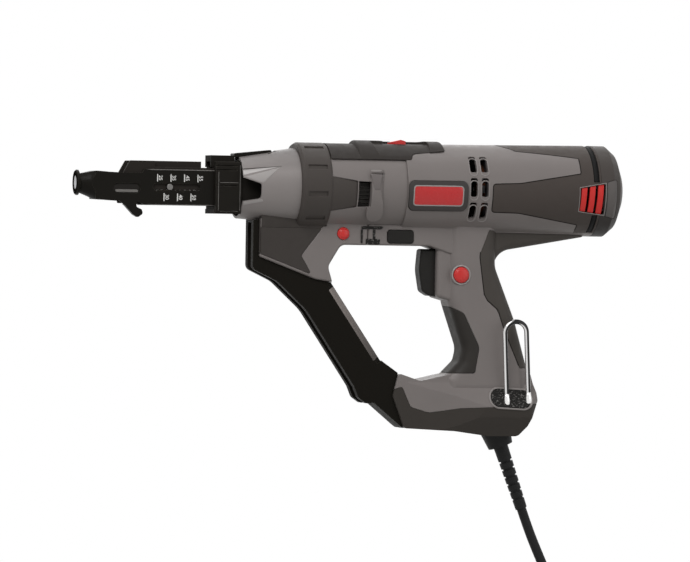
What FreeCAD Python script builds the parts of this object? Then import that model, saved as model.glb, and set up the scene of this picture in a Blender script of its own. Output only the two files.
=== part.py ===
import FreeCAD, Part
import math
import os

# A corded drywall screwdriver with an automatic strip feed, piece by piece, in millimetres.
# X runs from the nose to the tail, Z is up, and Y = 0 is the plane where the housings part.
# While modelling, X = 0 is the nose tip and Z = 0 the spindle line. The finished pieces are
# moved so that the middle of the grip is the origin. Negative Y is the tool's left side.

# Fits, walls and edges
RUNNING_FIT = 0.06
SLIDE_FIT = 0.3
SEAM = 0.2
WALL = 3.0
SKIN = 1.5
TINY = 1e-6

# Lengths of the barrel, from the cone to the tail
CONE_FRONT_X = 120.0
CONE_LENGTH = 42.0
COLLAR_LENGTH = 22.4
GEAR_BARREL_LENGTH = 56.6
MOTOR_BARREL_LENGTH = 147.0
REAR_CAP_LENGTH = 21.5

# Radii of the barrel
CONE_FRONT_RADIUS = 22.7
CONE_FRONT_DROP = 1.5
CONE_REAR_RADIUS = 27.8
CONE_WALL = 1.8
CONE_FACET = 1.1
COLLAR_RADIUS = 32.0
COLLAR_WEB = 3.0
COLLAR_CHAMFER = 1.4
GEAR_BARREL_RADIUS = 30.6
BARREL_FRONT_RADIUS = 32.0
BARREL_REAR_RADIUS = 33.5
CAP_END_RADIUS = 16.0
CAP_WALL = 2.6

# Handle, chin, base and leg
HANDLE_HALF = 17.0
HANDLE_ROUND = 9.0
CHIN_HALF = 14.5
CHIN_BOTTOM_Z = -42.3
CHIN_JOINT_X = 35.0
GUSSET_HALF = 11.0
GUSSET_ROUND = 5.0
LEG_HALF = 14.0
LEG_EDGE = 1.5
RAIL_HALF = 11.5
RAIL_BEVEL = 4.0
RAIL_STRIP = 4.2
TRACK_HALF = 5.0
TRACK_DEPTH = 7.0
LEG_SETBACK = 3.4
GRIP_MIDDLE = (66.0, -99.0)

# Nosepiece, feed slide and guide
NOSE_LIP_RADIUS = 9.2
NOSE_LIP_LENGTH = 2.6
NOSE_BORE_RADIUS = 5.0
NOSE_TIP_LENGTH = 22.0
PLATE_HALF = 10.6
PLATE_THICKNESS = 1.5
PLATE_FRONT_X = 49.0
PLATE_REAR_X = 112.0
PLATE_TOP_Z = 10.5
PLATE_BOTTOM_Z = -15.5
SETTING_STEP = 5.0
SETTING_FORWARD = 20.0
SETTING_BACK = 10.0
SETTING_BUTTON_X = 67.8
SETTING_BUTTON_Z = -2.3
SETTING_BUTTON_RADIUS = 2.3
SETTING_BUTTON_PROUD = 0.9
SLIDE_FRONT_X = 33.0
SLIDE_REAR_X = 140.0
SLIDE_TOP_Z = 12.0
SLIDE_BOTTOM_Z = -14.5
SLIDE_RIDGE_HALF = 5.5
SLIDE_RIDGE_Z = 16.5
SLIDE_TALL_REAR_X = 57.0
SLIDE_RIDGE_REAR_X = 92.0
SLIDE_BIT_BORE = 4.4
SLIDE_STROKE = 38.0
STRIP_SLOT_HALF = 7.2
SPROCKET_X = 56.0
SPROCKET_Z = -8.5
SPROCKET_RADIUS = 6.0
SPROCKET_TEETH = 8
SPROCKET_HUB_RADIUS = 2.4
SPROCKET_PIN_RADIUS = 1.5
SPROCKET_DISC = 1.8
GUIDE_LENGTH = 19.0
GUIDE_HALF = 15.0
GUIDE_TOP_Z = 16.8
GUIDE_BOTTOM_Z = -21.0
GUIDE_WALL = 1.4
GUIDE_ROOF_Z = 21.3
GUIDE_ROOF_HALF = 9.0
LATCH_HALF = 5.8
LATCH_LENGTH = 28.0
LATCH_PIN_RADIUS = 0.9

# Gearbox, clutch and spindle
SPINDLE_RADIUS = 6.0
BIT_HOLDER_RADIUS = 7.0
BIT_HOLDER_LENGTH = 22.0
SPINDLE_FRONT_X = 150.0
BIT_ACROSS_FLATS = 6.35
BIT_TIP_X = 36.0
BIT_TIP_LENGTH = 9.0
BUSH_WALL = 1.2
CASE_NOSE_RADIUS = 9.0
CASE_NOSE_LENGTH = 30.0
CASE_FRONT_OFFSET = 33.0
CASE_LENGTH = 44.0
CASE_RADIUS = 26.0
CASE_PLATE = 4.0
CASE_BORE = 22.3
GEAR_MODULE = 0.8
SUN_TEETH = 12
PLANET_TEETH = 18
PLANET_COUNT = 3
GEAR_WIDTH = 10.0
GEAR_BACKLASH = 0.14
CARRIER_THICKNESS = 4.0
PLANET_PIN_RADIUS = 2.5
CLUTCH_TRAVEL = 4.5
CLUTCH_DOGS = 3
DOG_HEIGHT = 2.0
DOG_INNER_RADIUS = 11.0
DOG_OUTER_RADIUS = 16.0
DOG_ANGLE = 40.0
CLUTCH_FLANGE = 3.0
CLUTCH_SPRING_RADIUS = 8.4
CLUTCH_SPRING_WIRE = 0.5
CLUTCH_SPRING_TURNS = 2
RETURN_SPRING_RADIUS = 8.1
RETURN_SPRING_WIRE = 0.5
RETURN_SPRING_TURNS = 5

# Depth wheel and stop
WHEEL_OFFSET = 23.4
WHEEL_WIDTH = 8.6
WHEEL_RIM = 3.4
WHEEL_WEB = 3.0
WHEEL_HUB = 2.4
WHEEL_RIDGES = 60
WHEEL_RIDGE_HEIGHT = 0.8
STOP_WALL = 2.4
STOP_LENGTH = 28.0

# Motor
MOTOR_PLATE_OFFSET = 31.0
FRONT_BEARING = (11.0, 4.0, 7.0)
REAR_BEARING = (9.5, 3.5, 6.0)
BEARING_LIP = 1.5
FAN_OFFSET = 43.0
FAN_LENGTH = 13.0
FAN_RADIUS = 26.5
FAN_BLADES = 11
FAN_BLADE = 1.4
STATOR_OFFSET = 61.0
BRUSH_END = 41.0
STATOR_RADIUS = 28.6
STATOR_YOKE = 6.0
ARMATURE_RADIUS = 16.0
AIR_GAP = 0.5
ARMATURE_SLOTS = 12
COMMUTATOR_GAP = 8.0
COMMUTATOR_LENGTH = 13.0
COMMUTATOR_RADIUS = 12.0
BRUSH_WIDTH = 7.0
BRUSH_HEIGHT = 9.0
BRUSH_HOLDER_WALL = 1.2
BRUSH_LENGTH = 13.0
REAR_BEARING_OFFSET = 13.0

# Controls
TRIGGER_HALF = 7.0
TRIGGER_TRAVEL = 6.0
LOCK_BUTTON = (45.2, -63.0)
LOCK_BUTTON_RADIUS = 5.8
LOCK_BUTTON_PROUD = 1.6
LOCK_BUTTON_TRAVEL = 2.3
LOCK_STEM_RADIUS = 2.4
RELEASE_BUTTON = (16.2, -34.0)
RELEASE_BUTTON_RADIUS = 4.5
RELEASE_BUTTON_TRAVEL = 2.0
LATCH_BAR = (-0.7, -35.7)
LATCH_BAR_SIZE = (20.0, 9.8)
LATCH_BAR_TRAVEL = 2.5
DIRECTION_SLOT_OFFSET = 45.0
DIRECTION_SLOT_LENGTH = 35.0
DIRECTION_SLOT_HALF = 5.5
DIRECTION_SLIDER_OFFSET = 52.0
DIRECTION_SLIDER_LENGTH = 13.0
SCOOP_OFFSET = 35.0
SCOOP_LENGTH = 47.0
SCOOP_LEFT = 0.4

# Vents, badge and fasteners
SLOT_COLUMNS = (49.8, 58.2)
SLOT_ANGLES = (-30.0, 2.0, 34.0)
SLOT_LENGTH = 13.6
SLOT_WIDTH = 5.2
LOUVRE_BARS = 3
LOUVRE_BAR = 4.2
LOUVRE_PITCH = 6.3
LOUVRE_DEPTH = 2.2
LOUVRE_LEAN = 0.04
BADGE_OFFSET = 0.4
BADGE_LENGTH = 44.9
BADGE_HEIGHT = 22.0
BADGE_MIDDLE_Z = -5.5
BADGE_BORDER = 3.2
BADGE_PROUD = 1.0
SCREW_RADIUS = 1.6
SCREW_HEAD_RADIUS = 3.1
SCREW_HEAD_HEIGHT = 2.2
BOSS_RADIUS = 4.2

# Belt hook and cord
HOOK_WIRE_RADIUS = 1.8
HOOK_WIDTH = 16.6
HOOK_LEG = 57.0
HOOK_FOOT = (81.0, -20.2, -162.0)
HOOK_LEAN = (-4.4, -6.0, 57.0)
CORD_DIAMETER = 7.0
BOOT_RADIUS = 11.2
BOOT_LENGTH = 12.0
SLEEVE_RADIUS = 5.6
SLEEVE_LENGTH = 58.0
CORD_TILT = 20.0
COIL_INNER_RADIUS = 30.0
COIL_PITCH = 8.7
COIL_LAYER = 8.4
COIL_LAYERS = 4
COIL_LAYER_TURNS = 1.875
TIE_WIDTH = 9.0
TIE_THICKNESS = 1.4
PLUG_PIN_RADIUS = 2.4
PLUG_PIN_SPACING = 19.0
PLUG_PIN_LENGTH = 19.0
PLUG_HALF_WIDTH = 18.0
PLUG_HALF_DEPTH = 10.0
PLUG_LENGTH = 36.0

# Stations worked out from the lengths above
GUIDE_FRONT_X = CONE_FRONT_X - GUIDE_LENGTH
COLLAR_X = CONE_FRONT_X + CONE_LENGTH
GEAR_X = COLLAR_X + COLLAR_LENGTH
LEG_X = GEAR_X - LEG_SETBACK
MOTOR_X = GEAR_X + GEAR_BARREL_LENGTH
TAIL_X = MOTOR_X + MOTOR_BARREL_LENGTH
END_X = TAIL_X + REAR_CAP_LENGTH
BEYOND = END_X / 2
STATOR_LENGTH = MOTOR_BARREL_LENGTH - STATOR_OFFSET - BRUSH_END
CHIN_X = LEG_X + CHIN_JOINT_X
CASE_X = LEG_X + CASE_FRONT_OFFSET
WHEEL_X = LEG_X + WHEEL_OFFSET


def vec(x, y, z):
    return FreeCAD.Vector(x, y, z)


def on_xz(a, b):
    return vec(a, 0, b)


def on_yz(a, b):
    return vec(0, a, b)


def on_xy(a, b):
    return vec(a, b, 0)


def at(station, corners):
    """Corners given from a station, moved to the spindle line's own X."""
    return [(station + corner[0],) + tuple(corner[1:]) for corner in corners]


def outline(corners, place):
    """A closed wire through (a, b) or (a, b, radius) corners, each with its own rounding."""
    points = [place(corner[0], corner[1]) for corner in corners]
    radii = [corner[2] if len(corner) > 2 else 0.0 for corner in corners]
    starts = []
    edges = []
    for index, point in enumerate(points):
        before = (points[index - 1] - point).normalize()
        after = (points[(index + 1) % len(points)] - point).normalize()
        half_angle = before.getAngle(after) / 2
        reach = radii[index] / math.tan(half_angle)
        starts.append((point + before * reach, point + after * reach))
        if radii[index] > 0:
            inward = (before + after).normalize()
            middle = point + inward * (radii[index] / math.sin(half_angle) - radii[index])
            edges.append(Part.Arc(starts[-1][0], middle, starts[-1][1]).toShape())
        else:
            edges.append(None)
    ordered = []
    for index, arc in enumerate(edges):
        if arc:
            ordered.append(arc)
        end = starts[index][1]
        begin = starts[(index + 1) % len(points)][0]
        if end.distanceToPoint(begin) > TINY:
            ordered.append(Part.makeLine(end, begin))
    return Part.Wire(ordered)


def prism(corners, place, low, high, inset=0.0):
    """The outline pushed square to its plane from low to high, drawn in all round by inset."""
    wire = outline(corners, place)
    if abs(inset) > TINY:
        wire = wire.makeOffset2D(-inset)
    across = place(1, 0).cross(place(0, 1))
    across = vec(abs(across.x), abs(across.y), abs(across.z))
    solid = Part.Face(wire).extrude(across * (high - low))
    solid.translate(across * low)
    return solid


def side_prism(corners, low, high, inset=0.0):
    return prism(corners, on_xz, low, high, inset)


def soft_slab(corners, half, radius, inset=0.0):
    """A slab about the middle plane with its two side outlines rounded over."""
    width = half - inset
    solid = side_prism(corners, -width, width, inset)
    edges = [edge for edge in solid.Edges if abs(abs(edge.CenterOfMass.y) - width) < TINY]
    return solid.makeFillet(max(radius - inset, 0.4), edges)


def turned(profile):
    """A solid turned about the spindle line from (x, radius) points."""
    wire = Part.makePolygon([vec(x, 0, r) for x, r in profile + profile[:1]])
    return Part.Face(wire).revolve(vec(0, 0, 0), vec(1, 0, 0), 360)


def tube(x_low, x_high, inner, outer):
    if inner <= 0:
        return rod_x(x_low, x_high, outer)
    return turned([(x_low, inner), (x_low, outer), (x_high, outer), (x_high, inner)])


def rod_x(x_low, x_high, radius, y=0.0, z=0.0):
    return Part.makeCylinder(radius, x_high - x_low, vec(x_low, y, z), vec(1, 0, 0))


def rod_y(y_low, y_high, radius, x, z):
    return Part.makeCylinder(radius, y_high - y_low, vec(x, y_low, z), vec(0, 1, 0))


def block(x_low, x_high, y_low, y_high, z_low, z_high):
    return Part.makeBox(x_high - x_low, y_high - y_low, z_high - z_low, vec(x_low, y_low, z_low))


def turn_about_spindle(shape, degrees):
    turned_shape = shape.copy()
    turned_shape.rotate(vec(0, 0, 0), vec(1, 0, 0), degrees)
    return turned_shape


def mirrored(shape):
    return shape.mirror(vec(0, 0, 0), vec(0, 1, 0))


def both_sides(shape):
    return shape.fuse(mirrored(shape))


def left_half(shape):
    return shape.common(block(-BEYOND, 4 * BEYOND, -BEYOND, 0, -2 * BEYOND, BEYOND))


def right_half(shape):
    return shape.common(block(-BEYOND, 4 * BEYOND, 0, BEYOND, -2 * BEYOND, BEYOND))


def fused(first, *others):
    return first.fuse(list(others)).removeSplitter()


def arc_middle(start, heading, end):
    """The middle point of the arc that leaves start along heading and passes through end."""
    chord = end - start
    inward = chord - heading * chord.dot(heading)
    inward.normalize()
    radius = chord.Length ** 2 / (2 * chord.dot(inward))
    centre = start + inward * radius
    toward = (start - centre) + (end - centre)
    toward.normalize()
    return centre + toward * radius


def biarc(start, heading, end, end_heading):
    """Two arcs that join two points and leave and arrive along the given headings."""
    chord = end - start
    both = heading + end_heading
    bend = 2 * (1 - heading.dot(end_heading))
    if bend < TINY:
        reach = chord.dot(chord) / (4 * chord.dot(heading))
    else:
        along = chord.dot(both)
        reach = (math.sqrt(along ** 2 + bend * chord.dot(chord)) - along) / bend
    middle = (start + heading * reach + end - end_heading * reach) * 0.5
    first = Part.Arc(start, arc_middle(start, heading, middle), middle).toShape()
    second = Part.Arc(middle, arc_middle(end, end_heading * -1, middle), end).toShape()
    return [first, second]


def swept(edges, radius):
    """A round tube along a path of tangent edges."""
    path = Part.Wire(edges)
    start = edges[0].valueAt(edges[0].FirstParameter)
    heading = edges[0].tangentAt(edges[0].FirstParameter)
    section = Part.Wire([Part.makeCircle(radius, start, heading)])
    return path.makePipeShell([section], True, False)


def helix_edges(x_low, x_high, radius, turns):
    """A helix about the spindle line as quarter turns of two arcs each."""
    steps = 4 * turns
    pitch = (x_high - x_low) / steps

    def point(step):
        angle = step * math.pi / 2
        return vec(x_low + pitch * step, radius * math.cos(angle), radius * math.sin(angle))

    def heading(step):
        angle = step * math.pi / 2
        way = vec(pitch, -radius * math.sin(angle) * math.pi / 2, radius * math.cos(angle) * math.pi / 2)
        return way.normalize()

    edges = []
    for step in range(steps):
        edges += biarc(point(step), heading(step), point(step + 1), heading(step + 1))
    return edges


def spring(x_low, x_high, radius, wire, turns):
    """A compression spring between two flat seats, with its wire clear of both."""
    return swept(helix_edges(x_low + wire, x_high - wire, radius, turns), wire)


def involute(angle):
    return math.tan(angle) - angle


def gear_wire(teeth, addendum, dedendum, backlash, turn):
    """A closed outline of involute teeth about the spindle line, one tooth at the given angle."""
    pitch_radius = GEAR_MODULE * teeth / 2
    pressure = math.radians(20)
    base = pitch_radius * math.cos(pressure)
    root = pitch_radius - dedendum
    tip = pitch_radius + addendum
    half_tooth = math.pi / (2 * teeth) - backlash / (2 * pitch_radius)
    heights = [root, max(base, root + 0.05), pitch_radius, tip]

    def half_angle(radius):
        inside = math.acos(min(1.0, base / radius))
        return half_tooth + involute(pressure) - involute(inside)

    points = []
    for tooth in range(teeth):
        middle = turn + tooth * 2 * math.pi / teeth
        flank = [(radius, half_angle(radius)) for radius in heights]
        for radius, half in flank:
            points.append((radius, middle - half))
        for radius, half in reversed(flank):
            points.append((radius, middle + half))
    corners = [vec(0, r * math.cos(a), r * math.sin(a)) for r, a in points]
    return Part.makePolygon(corners + corners[:1])


def gear(x_low, x_high, teeth, addendum, dedendum, backlash, turn):
    solid = Part.Face(
        gear_wire(teeth, addendum, dedendum, backlash, turn)
    ).extrude(vec(x_high - x_low, 0, 0))
    solid.translate(vec(x_low, 0, 0))
    return solid


# Outer forms. Each takes an inset, so that the same form drawn in gives the hollow inside.

def barrel_radius(x):
    slope = (BARREL_REAR_RADIUS - BARREL_FRONT_RADIUS) / MOTOR_BARREL_LENGTH
    return BARREL_FRONT_RADIUS + slope * (x - MOTOR_X)


def barrel_form(inset, x_low=MOTOR_X, x_high=TAIL_X):
    low = barrel_radius(x_low) - inset
    high = barrel_radius(x_high) - inset
    return turned([(x_low, 0), (x_low, low), (x_high, high), (x_high, 0)])


HANDLE_OUTLINE = at(MOTOR_X, [
    (36.0, -20.0, 0.0), (36.8, -82.0, 28.0), (48.8, -117.0, 14.0), (46.8, -126.0, 6.0),
    (35.0, -138.0, 4.0),
    (35.0, -152.0, 0.0),
    (100.0, -152.0, 0.0), (99.0, -133.0, 30.0), (88.5, -96.0, 60.0), (73.0, -57.0, 18.0),
    (73.0, -20.0, 0.0),
])
GUSSET_OUTLINE = at(MOTOR_X, [
    (58.0, -18.0, 0.0), (58.0, -64.0, 0.0), (72.6, -64.0, 0.0), (72.6, -46.0, 14.0),
    (MOTOR_BARREL_LENGTH - 5.0, -33.8, 3.0), (MOTOR_BARREL_LENGTH - 5.0, -18.0, 0.0),
])
TRIGGER_BLOCK_OUTLINE = at(MOTOR_X, [
    (28.0, -38.0, 0.0), (28.0, -79.6, 3.5), (44.0, -84.0, 4.0), (44.0, -38.0, 0.0),
])
BASE_SIDE = at(MOTOR_X, [
    (0.0, -135.5, 2.0), (16.5, -141.0, 5.0), (51.0, -133.0, 0.0), (99.5, -133.0, 2.0),
    (105.4, -154.5, 3.0), (97.0, -173.5, 5.0), (90.5, -181.0, 5.0), (68.0, -181.0, 8.0),
    (42.0, -177.4, 8.0), (4.5, -175.6, 3.0), (-4.2, -152.0, 3.0),
])
BASE_END = [
    (-14.0, -128.0, 0.0), (-14.5, -142.0, 4.0), (-23.5, -159.0, 4.0), (-22.5, -167.0, 6.0),
    (-15.0, -184.0, 0.0), (15.0, -184.0, 0.0), (22.5, -167.0, 6.0), (23.5, -159.0, 4.0),
    (14.5, -142.0, 4.0), (14.0, -128.0, 0.0),
]
BASE_PLAN = at(MOTOR_X, [
    (-6.0, -13.0, 2.0), (45.0, -20.0, 20.0), (68.0, -24.0, 20.0), (98.0, -24.0, 9.0),
    (107.0, -15.0, 6.0),
    (107.0, 15.0, 6.0), (98.0, 24.0, 9.0), (68.0, 24.0, 20.0), (45.0, 20.0, 20.0), (-6.0, 13.0, 2.0),
])
CHIN_OUTLINE = [
    (CHIN_X, -16.0, 0.0), (CHIN_X, CHIN_BOTTOM_Z, 1.5), (MOTOR_X + 22.0, CHIN_BOTTOM_Z, 6.0),
    (MOTOR_X + 44.0, -50.0, 0.0), (MOTOR_X + 44.0, -16.0, 0.0),
]
LEG_OUTLINE = at(LEG_X, [
    (-46.5, -8.0, 0.0), (-46.5, -51.5, 2.0), (-4.0, -67.5, 4.0), (8.8, -69.5, 0.6), (5.4, -58.1, 6.0),
    (14.9, CHIN_BOTTOM_Z, 6.0), (CHIN_JOINT_X - SEAM, CHIN_BOTTOM_Z, 1.5),
    (CHIN_JOINT_X - SEAM, -8.0, 0.0),
])
RAIL_INNER = [(LEG_X + 9.0, -69.7), (MOTOR_X - 12.7, -126.5)]
RAIL_OUTLINE = at(LEG_X, [
    (-46.5 - RAIL_STRIP, -24.0, 1.0), (-46.5 - RAIL_STRIP, -60.5, 5.0), (-32.0, -69.5, 16.0),
    (-10.0, -90.0, 30.0), (27.0, -145.5, 8.0), (30.2, -153.5, 4.0), (36.5, -158.0, 3.0),
]) + at(MOTOR_X, [
    (-18.5, -156.8, 3.0), (1.5, -173.5, 2.0), (4.5 - SEAM, -175.6, 0.0), (-4.2 - SEAM, -152.0, 3.0),
    (-SEAM, -135.2, 1.0),
]) + [RAIL_INNER[1] + (9.0,), RAIL_INNER[0] + (1.0,)] + at(LEG_X, [
    (-4.0, -67.7, 4.0), (-46.7, -51.7, 2.0), (-46.7, -24.0, 1.0),
])


def base_form(inset):
    side = side_prism(BASE_SIDE, -BEYOND, BEYOND, inset)
    end = prism(BASE_END, on_yz, 0, 3 * BEYOND, inset)
    plan = prism(BASE_PLAN, on_xy, -2 * BEYOND, 0, inset)
    return side.common([end]).common([plan])


def motor_form(inset, x_low=MOTOR_X, x_high=TAIL_X):
    """The motor housing: barrel, handle, chin, trigger frame and the gusset behind the hand."""
    pieces = [
        soft_slab(HANDLE_OUTLINE, HANDLE_HALF, HANDLE_ROUND, inset),
        soft_slab(GUSSET_OUTLINE, GUSSET_HALF, GUSSET_ROUND, inset),
        soft_slab(CHIN_OUTLINE, CHIN_HALF, LEG_EDGE, inset),
        soft_slab(TRIGGER_BLOCK_OUTLINE, 13.0, 3.0, inset),
        base_form(inset),
    ]
    return fused(barrel_form(inset, x_low, x_high), *pieces)


def nose_clearance(grow):
    """Room for the cone and the collar, cut from what stands under them."""
    cone = CONE_REAR_RADIUS + CONE_FRONT_DROP + grow
    collar = COLLAR_RADIUS + grow
    return turned([
        (0, 0), (0, cone - 3), (CONE_FRONT_X, cone - 3), (COLLAR_X, cone),
        (COLLAR_X, collar), (GEAR_X + grow, collar), (GEAR_X + grow, 0),
    ])


def leg_form(inset):
    slab = soft_slab(LEG_OUTLINE, LEG_HALF, LEG_EDGE, inset)
    return slab.cut(nose_clearance(SEAM + inset))


# Motor housing and what is set into it

BACK_GRIP = at(MOTOR_X, [
    (66.0, -30.0, 0.0), (59.0, -49.0, 8.0), (63.5, -79.5, 8.0), (74.0, -88.5, 6.0), (78.5, -103.0, 8.0),
    (91.0, -131.0, 0.0), (104.0, -131.0, 0.0), (170.0, -70.0, 0.0), (170.0, -30.0, 0.0),
])
FRONT_GRIP = at(MOTOR_X, [
    (20.0, -84.5, 0.0), (38.0, -86.0, 4.0), (48.0, -91.0, 5.0), (60.2, -116.0, 8.0), (57.0, -135.2, 2.0),
    (20.0, -135.2, 0.0),
])
SIDE_WEDGE = at(TAIL_X, [
    (-83.0, 3.8, 2.0), (-83.0, -16.8, 2.0), (-62.0, -17.2, 30.0), (-13.0, -25.5, 0.0),
    (-13.0, 12.8, 0.0),
    (-62.0, 4.6, 30.0),
])
TOP_WEDGE = at(TAIL_X, [
    (-73.0, -7.0, 2.0), (-62.0, -17.0, 8.0), (-13.0, -24.0, 0.0), (-13.0, 24.0, 0.0), (-62.0, 17.0, 8.0),
    (-73.0, 7.0, 2.0),
])
TAIL_RING = (-15.5, 0.0)
TAIL_GROOVE = (-6.0, -1.4)
TAIL_GROOVE_DEPTH = 0.8
VENT = at(TAIL_X, [
    (-16.4, 1.9, 1.5), (3.0, 5.5, 1.5), (3.0, -17.5, 1.5), (-16.4, -14.9, 1.5),
])
SHOE = at(MOTOR_X, [
    (-8.0, -149.0, 0.0), (2.5, -145.0, 2.0), (9.0, -160.0, 4.0), (22.0, -164.0, 8.0),
    (46.0, -160.5, 10.0),
    (70.0, -159.5, 0.0), (112.0, -156.0, 0.0), (112.0, -190.0, 0.0), (-8.0, -190.0, 0.0),
])
MOTOR_SCREWS = at(MOTOR_X, [
    (64.5, -50.5, HANDLE_HALF), (66.0, -118.0, HANDLE_HALF), (20.0, -151.0, 16.5),
    (14.5, -36.0, CHIN_HALF),
])
LEG_SCREWS = at(LEG_X, [(-33.0, -47.0, LEG_HALF - SKIN), (27.0, -35.0, LEG_HALF)])
COVER_SIDE = [
    (GEAR_X + SEAM, 20.0), (GEAR_X + SEAM, 40.0), (MOTOR_X + 31.5, 40.0), (MOTOR_X + 31.5, 27.0, 2.0),
    (MOTOR_X + 6.0, 24.5, 3.0), (MOTOR_X + 4.0, 20.0, 2.0),
]
COVER_PROUD = 2.4
COVER_LIFT = 6.0
HUMP_X = LEG_X + 25.0
HUMP_END_X = MOTOR_X + 31.5
HUMP_EDGE = 2.0
TRIGGER_LOW_Z = -78.8
TRIGGER_HIGH_Z = -44.4
SWITCH_HALF = 11.8
BARREL_GAP = 0.6


def cooling_slot(x, angle):
    """A cutter for one cooling slot, rounded at its corners and square to the barrel."""
    half_length = SLOT_LENGTH / 2
    half_width = SLOT_WIDTH / 2
    corners = [
        (x - half_width, -half_length, 1.4), (x + half_width, -half_length, 1.4),
        (x + half_width, half_length, 1.4), (x - half_width, half_length, 1.4),
    ]
    cutter = side_prism(corners, -BARREL_REAR_RADIUS - WALL, -BARREL_FRONT_RADIUS + 2 * WALL)
    return turn_about_spindle(cutter, -angle)


def cooling_slots():
    left = [cooling_slot(MOTOR_X + x, angle) for x in SLOT_COLUMNS for angle in SLOT_ANGLES]
    return left + [mirrored(cutter) for cutter in left]


def tail_region(inset):
    """Where the soft sleeve lies: a ring at the tail with a wedge along each side and the top."""
    ring = block(
        TAIL_X + TAIL_RING[0] + inset, TAIL_X + TAIL_RING[1] - inset, -BEYOND, BEYOND, -BEYOND, BEYOND,
    )
    side = side_prism(SIDE_WEDGE, -BEYOND, BEYOND, inset)
    top = prism(TOP_WEDGE, on_xy, 0, BEYOND, inset)
    vent = side_prism(VENT, -BEYOND, BEYOND)
    gusset_half = GUSSET_HALF + WALL / 2 + inset
    gusset = block(MOTOR_X, END_X, -gusset_half, gusset_half, -BEYOND, 0)
    return ring.fuse([side, top]).cut([vent, gusset])


def tail_groove():
    """A cutter for the groove round the tail, just before the rear cap."""
    low = TAIL_X + TAIL_GROOVE[0]
    high = TAIL_X + TAIL_GROOVE[1]
    return tube(low, high, BARREL_REAR_RADIUS - TAIL_GROOVE_DEPTH, BARREL_REAR_RADIUS + WALL)


def cover_floor(drop):
    """Inner bound of the top cover, stepped up where the motor barrel starts."""
    front = GEAR_BARREL_RADIUS - SKIN - drop
    rear = BARREL_FRONT_RADIUS - SKIN - drop
    return turned([
        (GEAR_X - 1, 0), (GEAR_X - 1, front), (MOTOR_X - SEAM, front), (MOTOR_X - SEAM, rear),
        (MOTOR_X + BEYOND, rear), (MOTOR_X + BEYOND, 0),
    ])


def cover_pocket():
    return side_prism(COVER_SIDE, -BEYOND, BEYOND).cut(cover_floor(SEAM))


def direction_slot(z_low):
    """The long slot in the top cover that the direction slider runs in."""
    start = LEG_X + DIRECTION_SLOT_OFFSET
    end = start + DIRECTION_SLOT_LENGTH
    half = DIRECTION_SLOT_HALF
    round_end = half - 0.1
    corners = [
        (start, -half, round_end), (end, -half, round_end), (end, half, round_end),
        (start, half, round_end),
    ]
    return prism(corners, on_xy, z_low, BEYOND)


def thumb_scoop():
    """A cutter that lowers the cover's left edge beside the direction slider."""
    start = LEG_X + SCOOP_OFFSET
    end = start + SCOOP_LENGTH
    outline_points = [(start, 40.0), (start + 7.0, 20.0), (end - 4.0, 20.0), (end, 40.0)]
    kept = rod_x(start - 1, end + 1, COLLAR_RADIUS + SCOOP_LEFT)
    return side_prism(outline_points, -BEYOND, 1 - DIRECTION_SLOT_HALF).cut(kept)


def slider_floor():
    return BARREL_FRONT_RADIUS - SKIN + 0.8


def top_cover():
    """The dark cover on top: level with the collar in front, then a raised back with a long slot."""
    front = rod_x(GEAR_X, HUMP_X + 1, COLLAR_RADIUS - SEAM)
    hump = rod_x(HUMP_X, HUMP_END_X, COLLAR_RADIUS + COVER_PROUD - COVER_LIFT, 0, COVER_LIFT)
    hump = hump.makeFillet(HUMP_EDGE, [edge for edge in hump.Edges if len(edge.Vertexes) == 1])
    cover = front.fuse(hump).common(side_prism(COVER_SIDE, -BEYOND, BEYOND, SEAM))
    return cover.cut([cover_floor(0), direction_slot(slider_floor()), thumb_scoop()])


def direction_slider():
    """The forward and reverse slider, pointed towards the nose, with a ramp for the thumb."""
    start = LEG_X + DIRECTION_SLIDER_OFFSET
    end = start + DIRECTION_SLIDER_LENGTH
    half = DIRECTION_SLOT_HALF - SLIDE_FIT
    floor = slider_floor() + SLIDE_FIT
    top = COLLAR_RADIUS + COVER_PROUD + 0.8
    shoulder = start + 0.4 * DIRECTION_SLIDER_LENGTH
    plan = [
        (start, 0, 0.6), (shoulder, -half, 1.0), (end, -half, 1.0), (end, half, 1.0),
        (shoulder, half, 1.0),
    ]
    side = [
        (start - 1, floor), (start - 1, floor + 1.0), (end - 4.0, top, 1.0), (end + 1, top - 1.4),
        (end + 1, floor),
    ]
    return prism(plan, on_xy, floor, top).common(side_prism(side, -BEYOND, BEYOND))


def screw_holes(places):
    """Cutters for the screws: a close hole through both halves and a counterbore from the right."""
    cutters = []
    for x, z, half in places:
        seat = half - SCREW_HEAD_HEIGHT - SEAM
        cutters.append(rod_y(-half + WALL, half, SCREW_RADIUS, x, z))
        cutters.append(rod_y(seat, BEYOND, SCREW_HEAD_RADIUS + SEAM, x, z))
    return cutters


def screw_bosses(places):
    return [rod_y(-half + WALL / 2, half - WALL / 2, BOSS_RADIUS, x, z) for x, z, half in places]


def screws(places):
    made = []
    for x, z, half in places:
        seat = half - SCREW_HEAD_HEIGHT - SEAM
        shank = rod_y(-half + WALL, seat, SCREW_RADIUS, x, z)
        head = rod_y(seat, seat + SCREW_HEAD_HEIGHT, SCREW_HEAD_RADIUS, x, z)
        drive = rod_y(seat + SCREW_HEAD_HEIGHT / 2, BEYOND, SCREW_RADIUS * 0.8, x, z)
        made.append(fused(shank, head).cut(drive))
    return made


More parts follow.
